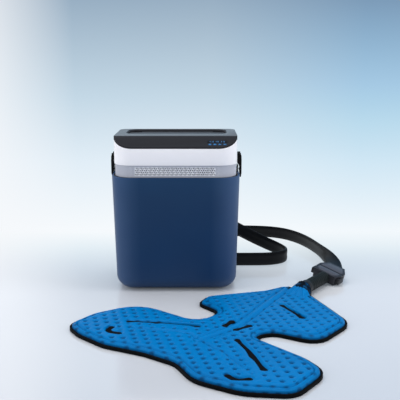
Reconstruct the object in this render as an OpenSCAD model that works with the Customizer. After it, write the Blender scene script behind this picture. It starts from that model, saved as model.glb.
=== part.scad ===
// Hot and cold therapy machine: an insulated water tub under a head that carries the
// cooler, the display and the keys, with a flat hose, a quick coupling and a water pad.
// Frame: origin under the middle of the tub, +Z up, the display side faces -Y.

/* [Tub] */
// Width of the tub at its rim
tub_w = 240; // [200:1:300]
// Depth of the tub at its rim
tub_d = 162; // [140:1:200]
// Height of the tub's rim above the floor
tub_h = 221; // [180:1:280]
// How far each side draws in from the rim to the base
tub_taper = 5; // [0:0.5:10]
// Plan radius of the tub's front corners
tub_front_r = 40; // [30:1:50]
// Plan radius of the tub's back corners
tub_back_r = 22; // [20:1:40]
// Radius of the rounding round the tub's base
tub_base_r = 24; // [12:1:30]
// Thickness of the tub's outer shell
tub_wall = 3; // [2:0.5:5]
// Thickness of the insulating foam
foam_t = 10; // [6:1:16]
// Thickness of the tank liner
liner_wall = 2.5; // [2:0.5:4]
// Thickness of the rubber sole
sole_t = 2; // [1:0.5:4]

/* [Head] */
// How far the head's collar stands in from the tub's rim
collar_inset = 5; // [3:0.5:8]
// How far the vent band stands in from the collar
band_inset = 1.5; // [1:0.5:3]
// Height of the perforated vent band
band_h = 22; // [16:1:30]
// Height of the collar's front wall above the band
collar_front_h = 31; // [24:1:44]
// Height of the head's flat top above the band
head_h = 51; // [46:1:70]
// Slope of the display panel
slope_deg = 27.8; // [20:0.2:32]
// Thickness of the head's walls
head_wall = 3; // [2:0.5:4]
// Plan radius of the collar's front corners
collar_front_r = 36; // [28:1:44]
// Plan radius of the collar's back corners
collar_back_r = 16; // [12:1:24]
// Height of the cap's dark edge above the collar
cap_edge = 7; // [5:0.5:9]
// Thickness of the deck between the tank and the head
deck_t = 5; // [4:0.5:8]
// Width of one vent hole across its flats
vent_hole = 2.2; // [1.5:0.1:3]
// Distance between two vent holes
vent_pitch = 4; // [3.5:0.5:8]

/* [Fill lid] */
// Width of the recess that holds the lid
lid_w = 190; // [150:1:196]
// Depth of the recess from front to back
lid_d = 81; // [70:1:84]
// How far the lid's top lies under the flat top
lid_sink = 4.5; // [2:0.5:6]
// Thickness of the lid
lid_t = 6; // [5:0.5:8]
// Plan radius of the recess's corners
lid_r = 22; // [12:1:28]
// Width of the filling mouth
mouth_w = 150; // [100:1:154]
// Depth of the filling mouth
mouth_d = 54; // [40:1:58]
// Radius of the lid's hinge pin
hinge_pin_r = 1.5; // [1:0.1:2]

/* [Display and keys] */
// Middle of the display and keys, to the right of the centre line
display_x = 77; // [60:1:80]
// Width of the display window
display_w = 37; // [24:1:38]
// Height of the display window along the slope
display_h = 8; // [5:0.5:9]
// Width of one key
key_w = 6.6; // [5:0.1:7]
// Height of one key along the slope
key_h = 4.4; // [3:0.1:5]
// Distance between two keys
key_pitch = 9; // [8.6:0.1:9.2]
// How far a key travels
key_travel = 0.8; // [0.4:0.1:1.2]

/* [Latches] */
// Width of a latch lever
latch_w = 24; // [16:1:30]
// How far a lever stands out from the collar
latch_out = 10.4; // [9.5:0.1:14]
// Height of a lever
latch_h = 47; // [40:1:52]
// Radius of a lever's pivot pin
latch_pin_r = 1.5; // [1:0.1:1.8]

/* [Cooler and pump] */
// Width of the heat sink
sink_w = 90; // [60:1:110]
// Depth of the heat sink
sink_d = 44; // [40:1:46]
// Number of fins on the heat sink
fin_count = 13; // [7:1:17]
// Side of the fan's square frame
fan_side = 50; // [40:1:54]
// Thickness of the fan's frame
fan_t = 15; // [10:1:16]
// Number of fan blades
blade_count = 7; // [5:1:9]
// Outer radius of the pump
pump_r = 23; // [18:1:26]
// Height of the pump
pump_h = 34; // [28:1:44]

/* [Hose and coupling] */
// Width of the flat twin hose
hose_w = 28; // [20:1:34]
// Thickness of the flat twin hose
hose_t = 7; // [5:0.5:9]
// Length of the coupling along its seam
coupling_l = 56; // [50:1:64]
// Thickness of the coupling
coupling_t = 18; // [16:0.5:20]
// Depth of the hose half of the coupling
socket_d = 30; // [26:1:36]
// Depth of the pad half of the coupling
plug_d = 24; // [18:1:28]
// Outer radius of the sleeve between the coupling and the pad
sleeve_r = 12.2; // [9:0.1:12.6]
// Length of the sleeve
sleeve_l = 79; // [60:1:90]

/* [Water pad] */
// Thickness of the pad's backing
backing_t = 4.5; // [3:0.5:6]
// Height of the water bladder above the backing
bladder_t = 6.5; // [4:0.5:9]
// Width of the binding round the pad's edge
binding_w = 3; // [2:0.5:4]
// Distance between two welded dimples
dimple_pitch = 34; // [20:1:40]

/* [Hidden] */

// Clearances and small steps
running = 0.05;      // radial clearance of a pin that turns in its bore
gap = 0.3;           // clearance between pieces that don't fit each other
eps = 0.01;          // overlap that joins two cuts
arc_steps = 11;      // straight steps in one rounded corner
round_fn = 48;       // steps of a round solid

// Levels above the floor
band_z = tub_h;
collar_z = band_z + band_h;
top_z = collar_z + head_h;
slope_front_z = collar_z + collar_front_h;
collar_top_z = top_z - cap_edge;

// Plan sizes of the head
collar_w = tub_w - 2 * collar_inset;
collar_d = tub_d - 2 * collar_inset;
band_w = collar_w - 2 * band_inset;
band_d = collar_d - 2 * band_inset;
front_y = -collar_d / 2;
slope_edge = 2.6;    // dark edge of the sloping panel above the collar, measured upright
panel_z = slope_front_z + slope_edge;
crease_y = front_y + (top_z - panel_z) / tan(slope_deg);

// Lid and mouth
lid_back = 7;        // from the recess to the back of the collar
lid_front_y = collar_d / 2 - lid_back - lid_d;
lid_mid_y = lid_front_y + lid_d / 2;
lid_top_z = top_z - lid_sink;
lid_low_z = lid_top_z - lid_t;
hinge_y = lid_front_y + lid_d - 1 - lid_t / 2;
hinge_z = lid_low_z + lid_t / 2;
mouth_y = lid_mid_y - 1.5;
neck_wall = 2.5;
neck_top_z = lid_low_z - 2.4;
lid_gap = 0.6;

// --- Outlines -------------------------------------------------------------------------

// A rectangle with one radius at its front corners and one at its back corners.
function plan(w, d, front_r, back_r, mid_y = 0) = [
    for (corner = [
        [w / 2 - back_r, d / 2 - back_r, back_r, 0],
        [-w / 2 + back_r, d / 2 - back_r, back_r, 90],
        [-w / 2 + front_r, -d / 2 + front_r, front_r, 180],
        [w / 2 - front_r, -d / 2 + front_r, front_r, 270]
    ], i = [0:arc_steps])
        let (a = corner[3] + 90 * i / arc_steps)
        [corner[0] + corner[2] * cos(a), mid_y + corner[1] + corner[2] * sin(a)]
];

function lift(outline, z) = [for (p = outline) [p[0], p[1], z]];
function collar_plan(inset) = plan(collar_w - 2 * inset, collar_d - 2 * inset,
    collar_front_r - inset, collar_back_r - inset);
function band_plan(inset) = plan(band_w - 2 * inset, band_d - 2 * inset,
    collar_front_r - band_inset - inset, collar_back_r - band_inset - inset);
function lid_plan(inset) = plan(lid_w - 2 * inset, lid_d - 2 * inset,
    lid_r - inset, lid_r - inset, lid_mid_y);
function mouth_plan(inset) = plan(mouth_w - 2 * inset, mouth_d - 2 * inset,
    16 - inset, 16 - inset, mouth_y);

// How far the base rounding draws in at height h above the tub's underside.
function base_round(h, r) = h >= r ? 0 : r - sqrt(r * r - (r - h) * (r - h));

// One level of the tub, moved in from its outer face by inset.
function tub_level(z, inset, r = tub_base_r, floor_z = sole_t) =
    let (draw = tub_taper * (1 - z / tub_h) + base_round(z - floor_z, r) + inset)
    lift(plan(tub_w - 2 * draw, tub_d - 2 * draw,
        max(tub_front_r - draw, 3), max(tub_back_r - draw, 3)), z);

// Levels of a tub-shaped solid from floor_z to top, with a rounded base of radius r.
function tub_levels(inset, floor_z, top, r) = concat(
    [for (a = [0:18:72]) tub_level(floor_z + r * (1 - cos(a)), inset, r, floor_z)],
    [tub_level(floor_z + r, inset, r, floor_z), tub_level(top, inset, r, floor_z)]);

// A solid skinned over closed rings of points, all of one length, from the lowest up.
module loft(rings) {
    n = len(rings[0]);
    polyhedron(
        points = [for (ring = rings, p = ring) p],
        faces = concat(
            [[for (i = [0:n - 1]) i]],
            [for (k = [0:len(rings) - 2], i = [0:n - 1]) let (j = (i + 1) % n)
                [k * n + i, (k + 1) * n + i, (k + 1) * n + j, k * n + j]],
            [[for (i = [n - 1:-1:0]) (len(rings) - 1) * n + i]]),
        convexity = 8);
}

module slab(outline, z, h) {
    translate([0, 0, z]) linear_extrude(h) polygon(outline);
}

module ring_slab(outer, inner, z, h) {
    translate([0, 0, z]) linear_extrude(h) difference() {
        polygon(outer);
        polygon(inner);
    }
}

// --- Tub ------------------------------------------------------------------------------

sole_inset = tub_taper + tub_base_r + 3;
module base_sole() {
    color("dimgray") slab(plan(tub_w - 2 * sole_inset, tub_d - 2 * sole_inset,
        tub_front_r - 20, tub_back_r - 10), 0, sole_t);
}

// The hose leaves through the tub's back wall, at this place.
port_x = 10;
port_z = 118;
port_stem_r = 8;
function back_y(z) = tub_d / 2 - tub_taper * (1 - z / tub_h);

module port_hole(clear) {
    translate([port_x, back_y(port_z) - 40, port_z]) rotate([-90, 0, 0])
        cylinder(r = port_stem_r + clear, h = 60, $fn = round_fn);
}

module tub_shell() {
    color("midnightblue") difference() {
        loft(tub_levels(0, sole_t, tub_h, tub_base_r));
        loft(concat(
            tub_levels(tub_wall, sole_t + tub_wall, tub_h - 1, tub_base_r - tub_wall),
            [tub_level(tub_h + 1, tub_wall)]));
        port_hole(gap);
    }
}

liner_inset = tub_wall + foam_t;
liner_floor_z = sole_t + tub_wall + foam_t;
flange_z = tub_h - 3.5;
flange_t = 2.2;
module tub_foam() {
    color("lightyellow") difference() {
        loft(tub_levels(tub_wall + gap, sole_t + tub_wall + gap, flange_z - gap,
            tub_base_r - tub_wall));
        loft(tub_levels(liner_inset - gap, liner_floor_z - gap, tub_h, tub_base_r - 6));
        port_hole(gap);
    }
}

module tank_liner() {
    color("lightsteelblue") difference() {
        union() {
            loft(tub_levels(liner_inset, liner_floor_z, tub_h - 2, tub_base_r - 6));
            translate([0, 0, flange_z]) linear_extrude(flange_t)
                polygon([for (p = tub_level(flange_z, tub_wall + gap)) [p[0], p[1]]]);
        }
        loft(tub_levels(liner_inset + liner_wall, liner_floor_z + liner_wall, tub_h + 1,
            tub_base_r - 8));
        port_hole(gap);
    }
}

module rim_gasket() {
    z = flange_z + flange_t;
    color("black") ring_slab(
        [for (p = tub_level(z, tub_wall + 1)) [p[0], p[1]]],
        [for (p = tub_level(z, tub_wall + foam_t - 1)) [p[0], p[1]]],
        z, tub_h - z);
}

// --- Head -----------------------------------------------------------------------------

screw_r = 2;
screw_head_r = 3.6;
screw_at = [for (x = [-1, 1], y = [52 - collar_d / 2, collar_d / 2 - 28])
    [x * (collar_w / 2 - 10), y]];
post_r = 5;
post_top_z = collar_z + 20;

cooler_y = crease_y - 1;
block_w = sink_w - 6;
block_d = sink_d - 6;

module head_deck() {
    color("gainsboro") difference() {
        union() {
            slab(band_plan(head_wall), band_z, deck_t);
            slab(mouth_plan(-neck_wall), band_z - 5, neck_top_z - band_z + 5);
        }
        slab(mouth_plan(0), band_z - 6, neck_top_z);
        translate([-block_w / 2 - gap, cooler_y - block_d / 2 - gap, band_z - 1])
            cube([block_w + 2 * gap, block_d + 2 * gap, deck_t + 2]);
        for (at = screw_at) translate([at[0], at[1], band_z - 1]) {
            cylinder(r = screw_r + gap, h = deck_t + 2, $fn = round_fn);
            cylinder(r = screw_head_r + gap, h = 1 + screw_head_h, $fn = round_fn);
        }
    }
}

screw_head_h = 2.4;
module deck_screws() {
    color("silver") for (at = screw_at) translate([at[0], at[1], band_z + 0.2]) {
        cylinder(r = screw_head_r, h = screw_head_h - 0.2, $fn = round_fn);
        cylinder(r = screw_r, h = post_top_z - band_z - 4, $fn = round_fn);
    }
}

// One row of points round a six-sided hole.
function hex_hole(x, z) = [for (a = [30:60:330])
    [x + vent_hole / sqrt(3) * cos(a), z + vent_hole / sqrt(3) * sin(a)]];
vent_half = band_w / 2 - collar_front_r;
vent_rows = floor((band_h - 6) / (vent_pitch * sin(60)));
vent_columns = floor((2 * vent_half - vent_pitch) / vent_pitch);
vent_holes = [for (row = [0:vent_rows - 1], column = [0:vent_columns - 1 - row % 2])
    hex_hole((column - (vent_columns - 1 - row % 2) / 2) * vent_pitch,
        band_h / 2 + (row - (vent_rows - 1) / 2) * vent_pitch * sin(60))];

// The band's front panel: a plate with staggered rows of holes.
module vent_panel(t) {
    rotate([90, 0, 0]) linear_extrude(t) polygon(
        points = concat([[-vent_half, 1.5], [vent_half, 1.5], [vent_half, band_h - 1.5],
            [-vent_half, band_h - 1.5]], [for (hole = vent_holes, p = hole) p]),
        paths = concat([[0, 1, 2, 3]],
            [for (k = [0:len(vent_holes) - 1]) [for (i = [0:5]) 4 + 6 * k + i]]));
}

band_wall = 2.5;
module vent_band() {
    color("silver") {
        difference() {
            ring_slab(band_plan(0), band_plan(band_wall), band_z, band_h);
            translate([-vent_half, -band_d / 2 - 1, band_z + 1.5])
                cube([2 * vent_half, band_wall + 2, band_h - 3]);
        }
        translate([0, -band_d / 2 + 0.4 + 1.6, band_z]) vent_panel(1.6);
    }
}

// Side view of everything above a line that follows the slope, dropped by drop from the
// panel and by edge from the flat top.
module above_slope(drop, edge) {
    z = panel_z - drop;
    flat_y = front_y + (top_z - edge - z) / tan(slope_deg);
    translate([-tub_w / 2, 0, 0]) rotate([90, 0, 90]) linear_extrude(tub_w) polygon([
        [front_y - 10, z - 10 * tan(slope_deg)], [flat_y, top_z - edge],
        [tub_d, top_z - edge], [tub_d, top_z + 60], [front_y - 10, top_z + 60]]);
}

module head_collar() {
    color("whitesmoke") difference() {
        union() {
            ring_slab(collar_plan(0), collar_plan(head_wall), collar_z, head_h);
            ring_slab(collar_plan(1), collar_plan(head_wall + 3), collar_z, 2);
            for (at = screw_at) {
                side = sign(at[0]);
                translate([at[0], at[1], band_z + deck_t])
                    cylinder(r = post_r, h = post_top_z - band_z - deck_t, $fn = round_fn);
                translate([side > 0 ? at[0] : at[0] - 9, at[1] - 1.5, collar_z])
                    cube([9, 3, 20]);
            }
        }
        above_slope(slope_edge, cap_edge);
        for (at = screw_at) translate([at[0], at[1], band_z])
            cylinder(r = screw_r + running, h = post_top_z - band_z - 2, $fn = round_fn);
        translate([inlet_x, collar_d / 2 - head_wall - 1, inlet_z]) rotate([-90, 0, 0])
            cylinder(r = inlet_r + running, h = head_wall + 2, $fn = round_fn);
    }
}

// Places its children on the sloping panel: x across, y up the slope, z out of it.
module on_slope() {
    translate([0, front_y, panel_z]) rotate([slope_deg, 0, 0]) children();
}

display_y = 18;
keys_y = 9.4;
key_count = 4;
key_flange = 0.7;
function key_x(i) = display_x + (i - (key_count - 1) / 2) * key_pitch;
cap_under = 3;
window_t = 1.6;

module cap_body() {
    intersection() {
        slab(collar_plan(0), collar_z, head_h);
        above_slope(slope_edge, cap_edge);
        difference() {
            slab(collar_plan(-1), collar_z, head_h);
            above_slope(0, 0);
        }
    }
}

module top_cap() {
    ledge_z = lid_low_z - gap - 2.4;
    color([0.13, 0.13, 0.14]) difference() {
        union() {
            difference() {
                cap_body();
                intersection() {
                    slab(collar_plan(head_wall), collar_z, head_h + 5);
                    difference() {
                        slab(collar_plan(0), collar_z - 20, head_h + 20 - cap_under);
                        above_slope(cap_under / cos(slope_deg), cap_under);
                    }
                }
            }
            slab(lid_plan(-head_wall), ledge_z, top_z - ledge_z - 1);
        }
        slab(lid_plan(0), lid_low_z - gap, 40);
        loft([lift(lid_plan(-eps), top_z - 2.5), lift(lid_plan(-2.6), top_z + 0.1)]);
        slab(mouth_plan(-neck_wall - 1), ledge_z - 1, 10);
        translate([-lid_w / 2 - 2, hinge_y, hinge_z]) rotate([0, 90, 0])
            cylinder(r = hinge_pin_r + running, h = lid_w + 4, $fn = round_fn);
        on_slope() {
            translate([display_x - display_w / 2 - 0.1, display_y - display_h / 2 - 0.1,
                -window_t])
                cube([display_w + 0.2, display_h + 0.2, 5]);
            translate([display_x - display_w / 2 + 1.5, display_y - display_h / 2 + 1, -10])
                cube([display_w - 3, display_h - 2, 12]);
            for (i = [0:key_count - 1])
                translate([key_x(i) - key_w / 2 - gap, keys_y - key_h / 2 - gap, -10])
                    cube([key_w + 2 * gap, key_h + 2 * gap, 12]);
        }
    }
}

module display_window() {
    color("deepskyblue") on_slope()
        translate([display_x - display_w / 2, display_y - display_h / 2, -window_t])
            cube([display_w, display_h, window_t]);
}

board_w = 39;
board_l = 18;
board_y = 6;
board_t = 1.6;
board_z = -11;
switch_top = -6;
module control_board() {
    color("darkgreen") on_slope() {
        translate([display_x - board_w / 2, board_y, board_z])
            cube([board_w, board_l, board_t]);
        for (i = [0:key_count - 1]) translate([key_x(i), keys_y, board_z + board_t - eps])
            cylinder(r = 2, h = switch_top - board_z - board_t, $fn = round_fn);
        translate([display_x - display_w / 2 + 2, display_y - display_h / 2 + 1.5,
            board_z + board_t - eps])
            cube([display_w - 4, display_h - 3, -window_t - gap - board_z - board_t]);
    }
}

// One key: a cap that passes the panel, a flange that keeps it in and a stem.
module key(i) {
    color("dimgray") on_slope() translate([key_x(i), keys_y, 0]) {
        translate([-key_w / 2, -key_h / 2, -cap_under - 0.3])
            cube([key_w, key_h, cap_under + 0.5]);
        translate([-key_w / 2 - key_flange, -key_h / 2 - key_flange, -cap_under - 1.3])
            cube([key_w + 2 * key_flange, key_h + 2 * key_flange, 1.1]);
        translate([0, 0, switch_top + key_travel + 0.1])
            cylinder(r = 1.5, h = -cap_under - 1.3 - switch_top - key_travel,
                $fn = round_fn);
    }
}

// --- Fill lid -------------------------------------------------------------------------

barrel_half = lid_w / 2 - lid_r - 2;
module fill_lid() {
    color([0.3, 0.31, 0.33]) difference() {
        union() {
            intersection() {
                slab(lid_plan(lid_gap), lid_low_z, lid_t);
                translate([-lid_w, lid_front_y - 1, lid_low_z - 1])
                    cube([2 * lid_w, hinge_y - lid_front_y + 1, lid_t + 2]);
            }
            translate([-barrel_half, hinge_y, hinge_z]) rotate([0, 90, 0])
                cylinder(r = lid_t / 2, h = 2 * barrel_half, $fn = round_fn);
        }
        translate([-lid_w, hinge_y, hinge_z]) rotate([0, 90, 0])
            cylinder(r = hinge_pin_r + running, h = 2 * lid_w, $fn = round_fn);
        slab(mouth_plan(6), lid_low_z - 1, 3.4);
        for (x = [-lid_w, barrel_half]) translate([x, hinge_y - lid_t - 5, lid_low_z - 1])
            cube([x < 0 ? lid_w - barrel_half : lid_w, lid_t + 20, lid_t + 2]);
    }
}

module lid_hinge_pin() {
    color("silver") translate([-lid_w / 2 - 1.5, hinge_y, hinge_z]) rotate([0, 90, 0])
        cylinder(r = hinge_pin_r, h = lid_w + 3, $fn = round_fn);
}

module lid_seal() {
    color("black") ring_slab(mouth_plan(-neck_wall), mouth_plan(2), neck_top_z + 0.1,
        lid_low_z - neck_top_z - 0.1);
}

tab_w = 9;
module lid_tab() {
    color("silver") translate([-tab_w / 2, lid_front_y + lid_gap, lid_top_z]) {
        cube([tab_w, 6, 1.2]);
        translate([0, 0, 1.2 - eps]) cube([tab_w, 1.4, 1.4]);
    }
}

// --- Cooler ---------------------------------------------------------------------------

block_t = 14;
block_top_z = band_z - 2;
module_t = 4;
module_side = 36;
module cold_block() {
    color("silver") difference() {
        translate([-block_w / 2, cooler_y - block_d / 2, block_top_z - block_t])
            cube([block_w, block_d, block_t]);
        translate([block_w / 2 - 20, cooler_y, block_top_z - block_t / 2])
            rotate([0, 90, 0]) cylinder(r = 3.5, h = 30, $fn = round_fn);
        translate([-block_w / 2 + 12, cooler_y, block_top_z - block_t - 1])
            cylinder(r = 3.5, h = block_t / 2, $fn = round_fn);
    }
}

module thermo_modules() {
    color("white") for (x = [-1, 1])
        translate([x * (block_w / 4) - module_side / 2, cooler_y - module_side / 2,
            block_top_z])
            cube([module_side, module_side, module_t]);
}

sink_z = block_top_z + module_t;
sink_base = 4;
sink_h = band_z + band_h - 2 - sink_z;
fin_t = 1.6;
module heat_sink() {
    color("darkgray") {
        translate([-sink_w / 2, cooler_y - sink_d / 2, band_z + deck_t]) {
            cube([sink_w, sink_d, sink_base]);
            for (i = [0:fin_count - 1])
                translate([i * (sink_w - fin_t) / (fin_count - 1), 0, sink_base - eps])
                    cube([fin_t, sink_d, sink_h - sink_base]);
        }
        translate([-block_w / 2, cooler_y - block_d / 2, sink_z])
            cube([block_w, block_d, band_z + deck_t - sink_z + eps]);
    }
}

fan_z = band_z + deck_t + sink_h;
fan_duct_r = fan_side / 2 - 2;
hub_r = 9;
fan_pin_r = 1.5;
module fan_frame() {
    color([0.1, 0.1, 0.1]) translate([0, cooler_y, fan_z]) {
        difference() {
            translate([-fan_side / 2, -fan_side / 2, 0]) cube([fan_side, fan_side, fan_t]);
            translate([0, 0, -1]) cylinder(r = fan_duct_r, h = fan_t + 2, $fn = round_fn);
        }
        for (a = [45:90:315]) rotate([0, 0, a])
            translate([hub_r - 2, -1.2, 0]) cube([fan_duct_r - hub_r + 3, 2.4, 2]);
        cylinder(r = hub_r, h = 2, $fn = round_fn);
        cylinder(r = fan_pin_r, h = fan_t - 3, $fn = round_fn);
    }
}

module fan_rotor() {
    blade_l = fan_duct_r - hub_r - 1.5;
    color([0.2, 0.2, 0.2]) translate([0, cooler_y, fan_z + 2 + gap]) difference() {
        union() {
            cylinder(r = hub_r, h = fan_t - 5, $fn = round_fn);
            for (i = [0:blade_count - 1]) rotate([0, 0, i * 360 / blade_count])
                translate([hub_r - 1.5, 0, (fan_t - 5) / 2]) rotate([35, 0, 0])
                    translate([0, -6, -0.6]) cube([blade_l + 1.5, 12, 1.2]);
        }
        translate([0, 0, -1])
            cylinder(r = fan_pin_r + running, h = fan_t - 4, $fn = round_fn);
    }
}

inlet_x = -70;
inlet_z = collar_z + 14;
inlet_r = 5.5;
module power_inlet() {
    color("black") translate([inlet_x, collar_d / 2, inlet_z]) rotate([90, 0, 0]) {
        difference() {
            union() {
                cylinder(r = inlet_r, h = 14, $fn = round_fn);
                translate([0, 0, head_wall + 0.1]) cylinder(r = 7.5, h = 2, $fn = round_fn);
                translate([0, 0, -1.5]) cylinder(r = 7.5, h = 1.5, $fn = round_fn);
            }
            translate([0, 0, -2]) cylinder(r = 2.9, h = 12, $fn = round_fn);
        }
        translate([0, 0, -0.5]) cylinder(r = 1, h = 11, $fn = round_fn);
    }
}

// --- Pump and inner tubes -------------------------------------------------------------

// How far the pump's middle stays inside the tub's outer faces, clear of the rounded floor.
pump_room = tub_taper + liner_inset + liner_wall + tub_base_r - 8 + pump_r + 4.5;
pump_x = tub_w / 2 - pump_room;
pump_y = tub_d / 2 - pump_room - 1;
pump_z = liner_floor_z + liner_wall;
chamber_r = pump_r - 4;
chamber_z = pump_z + 4;
chamber_h = 10;
shaft_r = 1.5;
module pump_housing() {
    color([0.15, 0.16, 0.18]) translate([pump_x, pump_y, 0]) {
        difference() {
            union() {
                translate([0, 0, pump_z]) cylinder(r = pump_r, h = pump_h, $fn = round_fn);
                translate([0, 0, pump_z]) cylinder(r = pump_r + 3, h = 3, $fn = round_fn);
                translate([0, 0, pump_z + pump_h - eps])
                    cylinder(r = 5.5, h = 8, $fn = round_fn);
            }
            translate([0, 0, chamber_z]) cylinder(r = chamber_r, h = chamber_h, $fn = round_fn);
            translate([0, 0, chamber_z + chamber_h - 1])
                cylinder(r = 3, h = pump_h, $fn = round_fn);
            for (a = [0:60:300]) rotate([0, 0, a]) translate([0, -3, chamber_z + 2])
                cube([pump_r + 1, 6, 5]);
        }
        translate([0, 0, pump_z + 2]) cylinder(r = shaft_r, h = chamber_h, $fn = round_fn);
    }
}

module pump_impeller() {
    color("orange") translate([pump_x, pump_y, chamber_z + gap]) difference() {
        union() {
            cylinder(r = chamber_r - 2, h = 2, $fn = round_fn);
            cylinder(r = 4, h = chamber_h - 2.5, $fn = round_fn);
            for (a = [0:60:300]) rotate([0, 0, a]) translate([2, -0.8, 1])
                cube([chamber_r - 4.5, 1.6, chamber_h - 3.5]);
        }
        translate([0, 0, -1]) cylinder(r = shaft_r + running, h = chamber_h, $fn = round_fn);
    }
}

module suction_filter() {
    color("white") translate([pump_x, pump_y, pump_z + 3 + gap]) difference() {
        cylinder(r = pump_r + 3, h = 14, $fn = round_fn);
        translate([0, 0, -1]) cylinder(r = pump_r + gap, h = 16, $fn = round_fn);
        for (a = [0:15:165]) rotate([0, 0, a])
            translate([-pump_r - 5, -1, 3]) cube([2 * pump_r + 10, 2, 8]);
    }
}

// Unit vectors and frames along a path.
function unit(v) = v / norm(v);
function along(path, i) = unit(path[min(i + 1, len(path) - 1)] - path[max(i - 1, 0)]);
function side_of(t) = unit(cross(t, [0, 0, 1]));

// A smooth curve through the points, with steps points on each stretch.
function curve(p, steps) = concat([for (i = [0:len(p) - 2], s = [0:steps - 1])
    let (a = p[max(i - 1, 0)], b = p[i], c = p[i + 1], d = p[min(i + 2, len(p) - 1)],
        t = s / steps)
    0.5 * (2 * b + (c - a) * t + (2 * a - 5 * b + 4 * c - d) * t * t
        + (3 * b - a - 3 * c + d) * t * t * t)], [p[len(p) - 1]]);

// A closed tube along a path. Each ring is an oval of the given width and thickness whose
// width stands upright, turned about the path by lean(i) degrees. The ends are cut square
// to start_dir and end_dir.
module tube(path, width, thick, sides, leans, start_dir, end_dir) {
    n = len(path);
    loft([for (i = [0:n - 1])
        let (t = i == 0 ? start_dir : i == n - 1 ? end_dir : along(path, i),
            s = side_of(t), u = cross(s, t), w = cos(leans[i]) * u + sin(leans[i]) * s,
            q = cross(t, w))
        [for (k = [0:sides - 1]) let (a = -360 * k / sides)
            path[i] + width / 2 * cos(a) * w + thick / 2 * sin(a) * q]]);
}

inner_tube_r = 4;
port_in_y = back_y(port_z) - liner_inset - liner_wall - 8;
module supply_tube() {
    top = pump_z + pump_h + 8;
    points = [[pump_x, pump_y, top], [pump_x, pump_y, top + 20],
        [pump_x - 2, pump_y + 2, port_z - 23], [pump_x - 8, pump_y + 6, port_z - 12],
        [pump_x - 20, pump_y + 11, port_z - 5], [port_x + 18, pump_y + 15, port_z - 5],
        [port_x + 6, port_in_y - 12, port_z - 5], [port_x, port_in_y - 6, port_z - 4],
        [port_x, port_in_y, port_z - 4]];
    path = curve(points, 3);
    color("azure") tube(path, 2 * inner_tube_r, 2 * inner_tube_r, 8,
        [for (p = path) 0], [0, 0.001, 1], [0, 1, 0]);
}

module return_tube() {
    block_side = block_w / 2;
    z = block_top_z - block_t / 2;
    wall_x = tub_w / 2 - 30;
    points = [[port_x, port_in_y, port_z + 5], [port_x, port_in_y - 6, port_z + 6],
        [port_x + 8, port_in_y - 12, port_z + 12], [port_x + 30, port_in_y - 12, z - 67],
        [wall_x - 16, port_in_y - 14, z - 40], [wall_x - 2, port_in_y - 25, z - 16],
        [wall_x, (port_in_y + cooler_y) / 2 - 5, z], [wall_x - 4, cooler_y + 18, z],
        [wall_x - 16, cooler_y + 2, z], [wall_x - 30, cooler_y, z],
        [block_side, cooler_y, z]];
    path = curve(points, 3);
    color("azure") tube(path, 2 * inner_tube_r, 2 * inner_tube_r, 8,
        [for (p = path) 0], [0, -1, 0], [-1, 0, 0]);
}

// --- Hose -----------------------------------------------------------------------------

// The hose's middle line, from the tub's back, down to the floor, round behind the machine
// and forward to the coupling.
hose_route = [
    [10, 102, 118], [11, 122, 117], [17, 144, 112], [32, 163, 105], [56, 176, 94],
    [82, 184, 80], [110, 188, 65], [140, 189, 49], [168, 186, 35], [194, 178, 24],
    [217, 163, 17], [230, 144, 14.5], [234, 122, 14.5], [224, 103, 14.5],
    [204, 91, 14.5], [178, 86, 14.5], [130, 85, 14.5], [70, 85, 14.5],
    [10, 87, 14.5], [-40, 98, 14.5], [-80, 124, 14.5], [-103, 162, 14.5],
    [-107, 206, 14.5], [-92, 250, 14.5], [-60, 285, 14.5], [-16, 306, 14.5],
    [40, 314, 14.5], [100, 316, 14.5], [160, 316, 14.5], [212, 309, 14.5],
    [250, 290, 14.5], [277, 257, 14.5], [296, 216, 14.5], [309, 170, 14.5],
    [318, 122, 15], [323, 78, 16], [325, 46, 16.5], [322, 14, 15.6]
];
// The hose stands on its edge and turns flat over its last stretch, to meet the coupling.
hose_lean_from = 33;

coupling_at = [303, -13, 15.6];
coupling_yaw = 52;
coupling_roll = 14;
function coupling_dir() = [cos(coupling_yaw), sin(coupling_yaw), 0];

// Places its children at the coupling: x towards the hose, y along the seam, z up.
module at_coupling() {
    translate(coupling_at) rotate([0, 0, coupling_yaw]) rotate([coupling_roll, 0, 0])
        children();
}

module hose() {
    stops = len(hose_route);
    end = coupling_at + socket_d * coupling_dir();
    points = [for (i = [0:stops - 1]) i == stops - 1 ? end : hose_route[i]];
    path = curve(points, 2);
    full_lean = 90 + coupling_roll;
    leans = [for (i = [0:len(path) - 1])
        let (f = max(0, (i / 2 - hose_lean_from) / (stops - 1 - hose_lean_from)))
        -full_lean * f * f * (3 - 2 * f)];
    color([0.08, 0.09, 0.1]) tube(path, hose_w, hose_t, 10, leans, [0, 1, 0],
        -coupling_dir());
}

module hose_gland() {
    y = back_y(port_z);
    color([0.1, 0.1, 0.11]) {
        translate([port_x, port_in_y, port_z]) rotate([-90, 0, 0])
            cylinder(r = port_stem_r, h = y - port_in_y + 3, $fn = round_fn);
        translate([port_x, y - liner_inset - liner_wall - 3 - gap, port_z])
            rotate([-90, 0, 0]) cylinder(r = port_stem_r + 5, h = 2.6, $fn = round_fn);
        hull() {
            translate([port_x - 8, y + 0.6, port_z - hose_w / 2 - 3])
                cube([16, 7, hose_w + 6]);
            translate([port_x - hose_t / 2 - 1, hose_route[0][1] - 1, port_z - hose_w / 2 - 1])
                cube([hose_t + 2, 1, hose_w + 2]);
        }
    }
}

// --- Coupling -------------------------------------------------------------------------

// Plan of one half: a bar along the seam that narrows away from it.
function half_plan(depth, narrow) = let (h = coupling_l / 2)
    [[0, -h], [depth * 0.3, -h], [depth, -h + narrow], [depth, h - narrow],
        [depth * 0.3, h], [0, h]];

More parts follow.
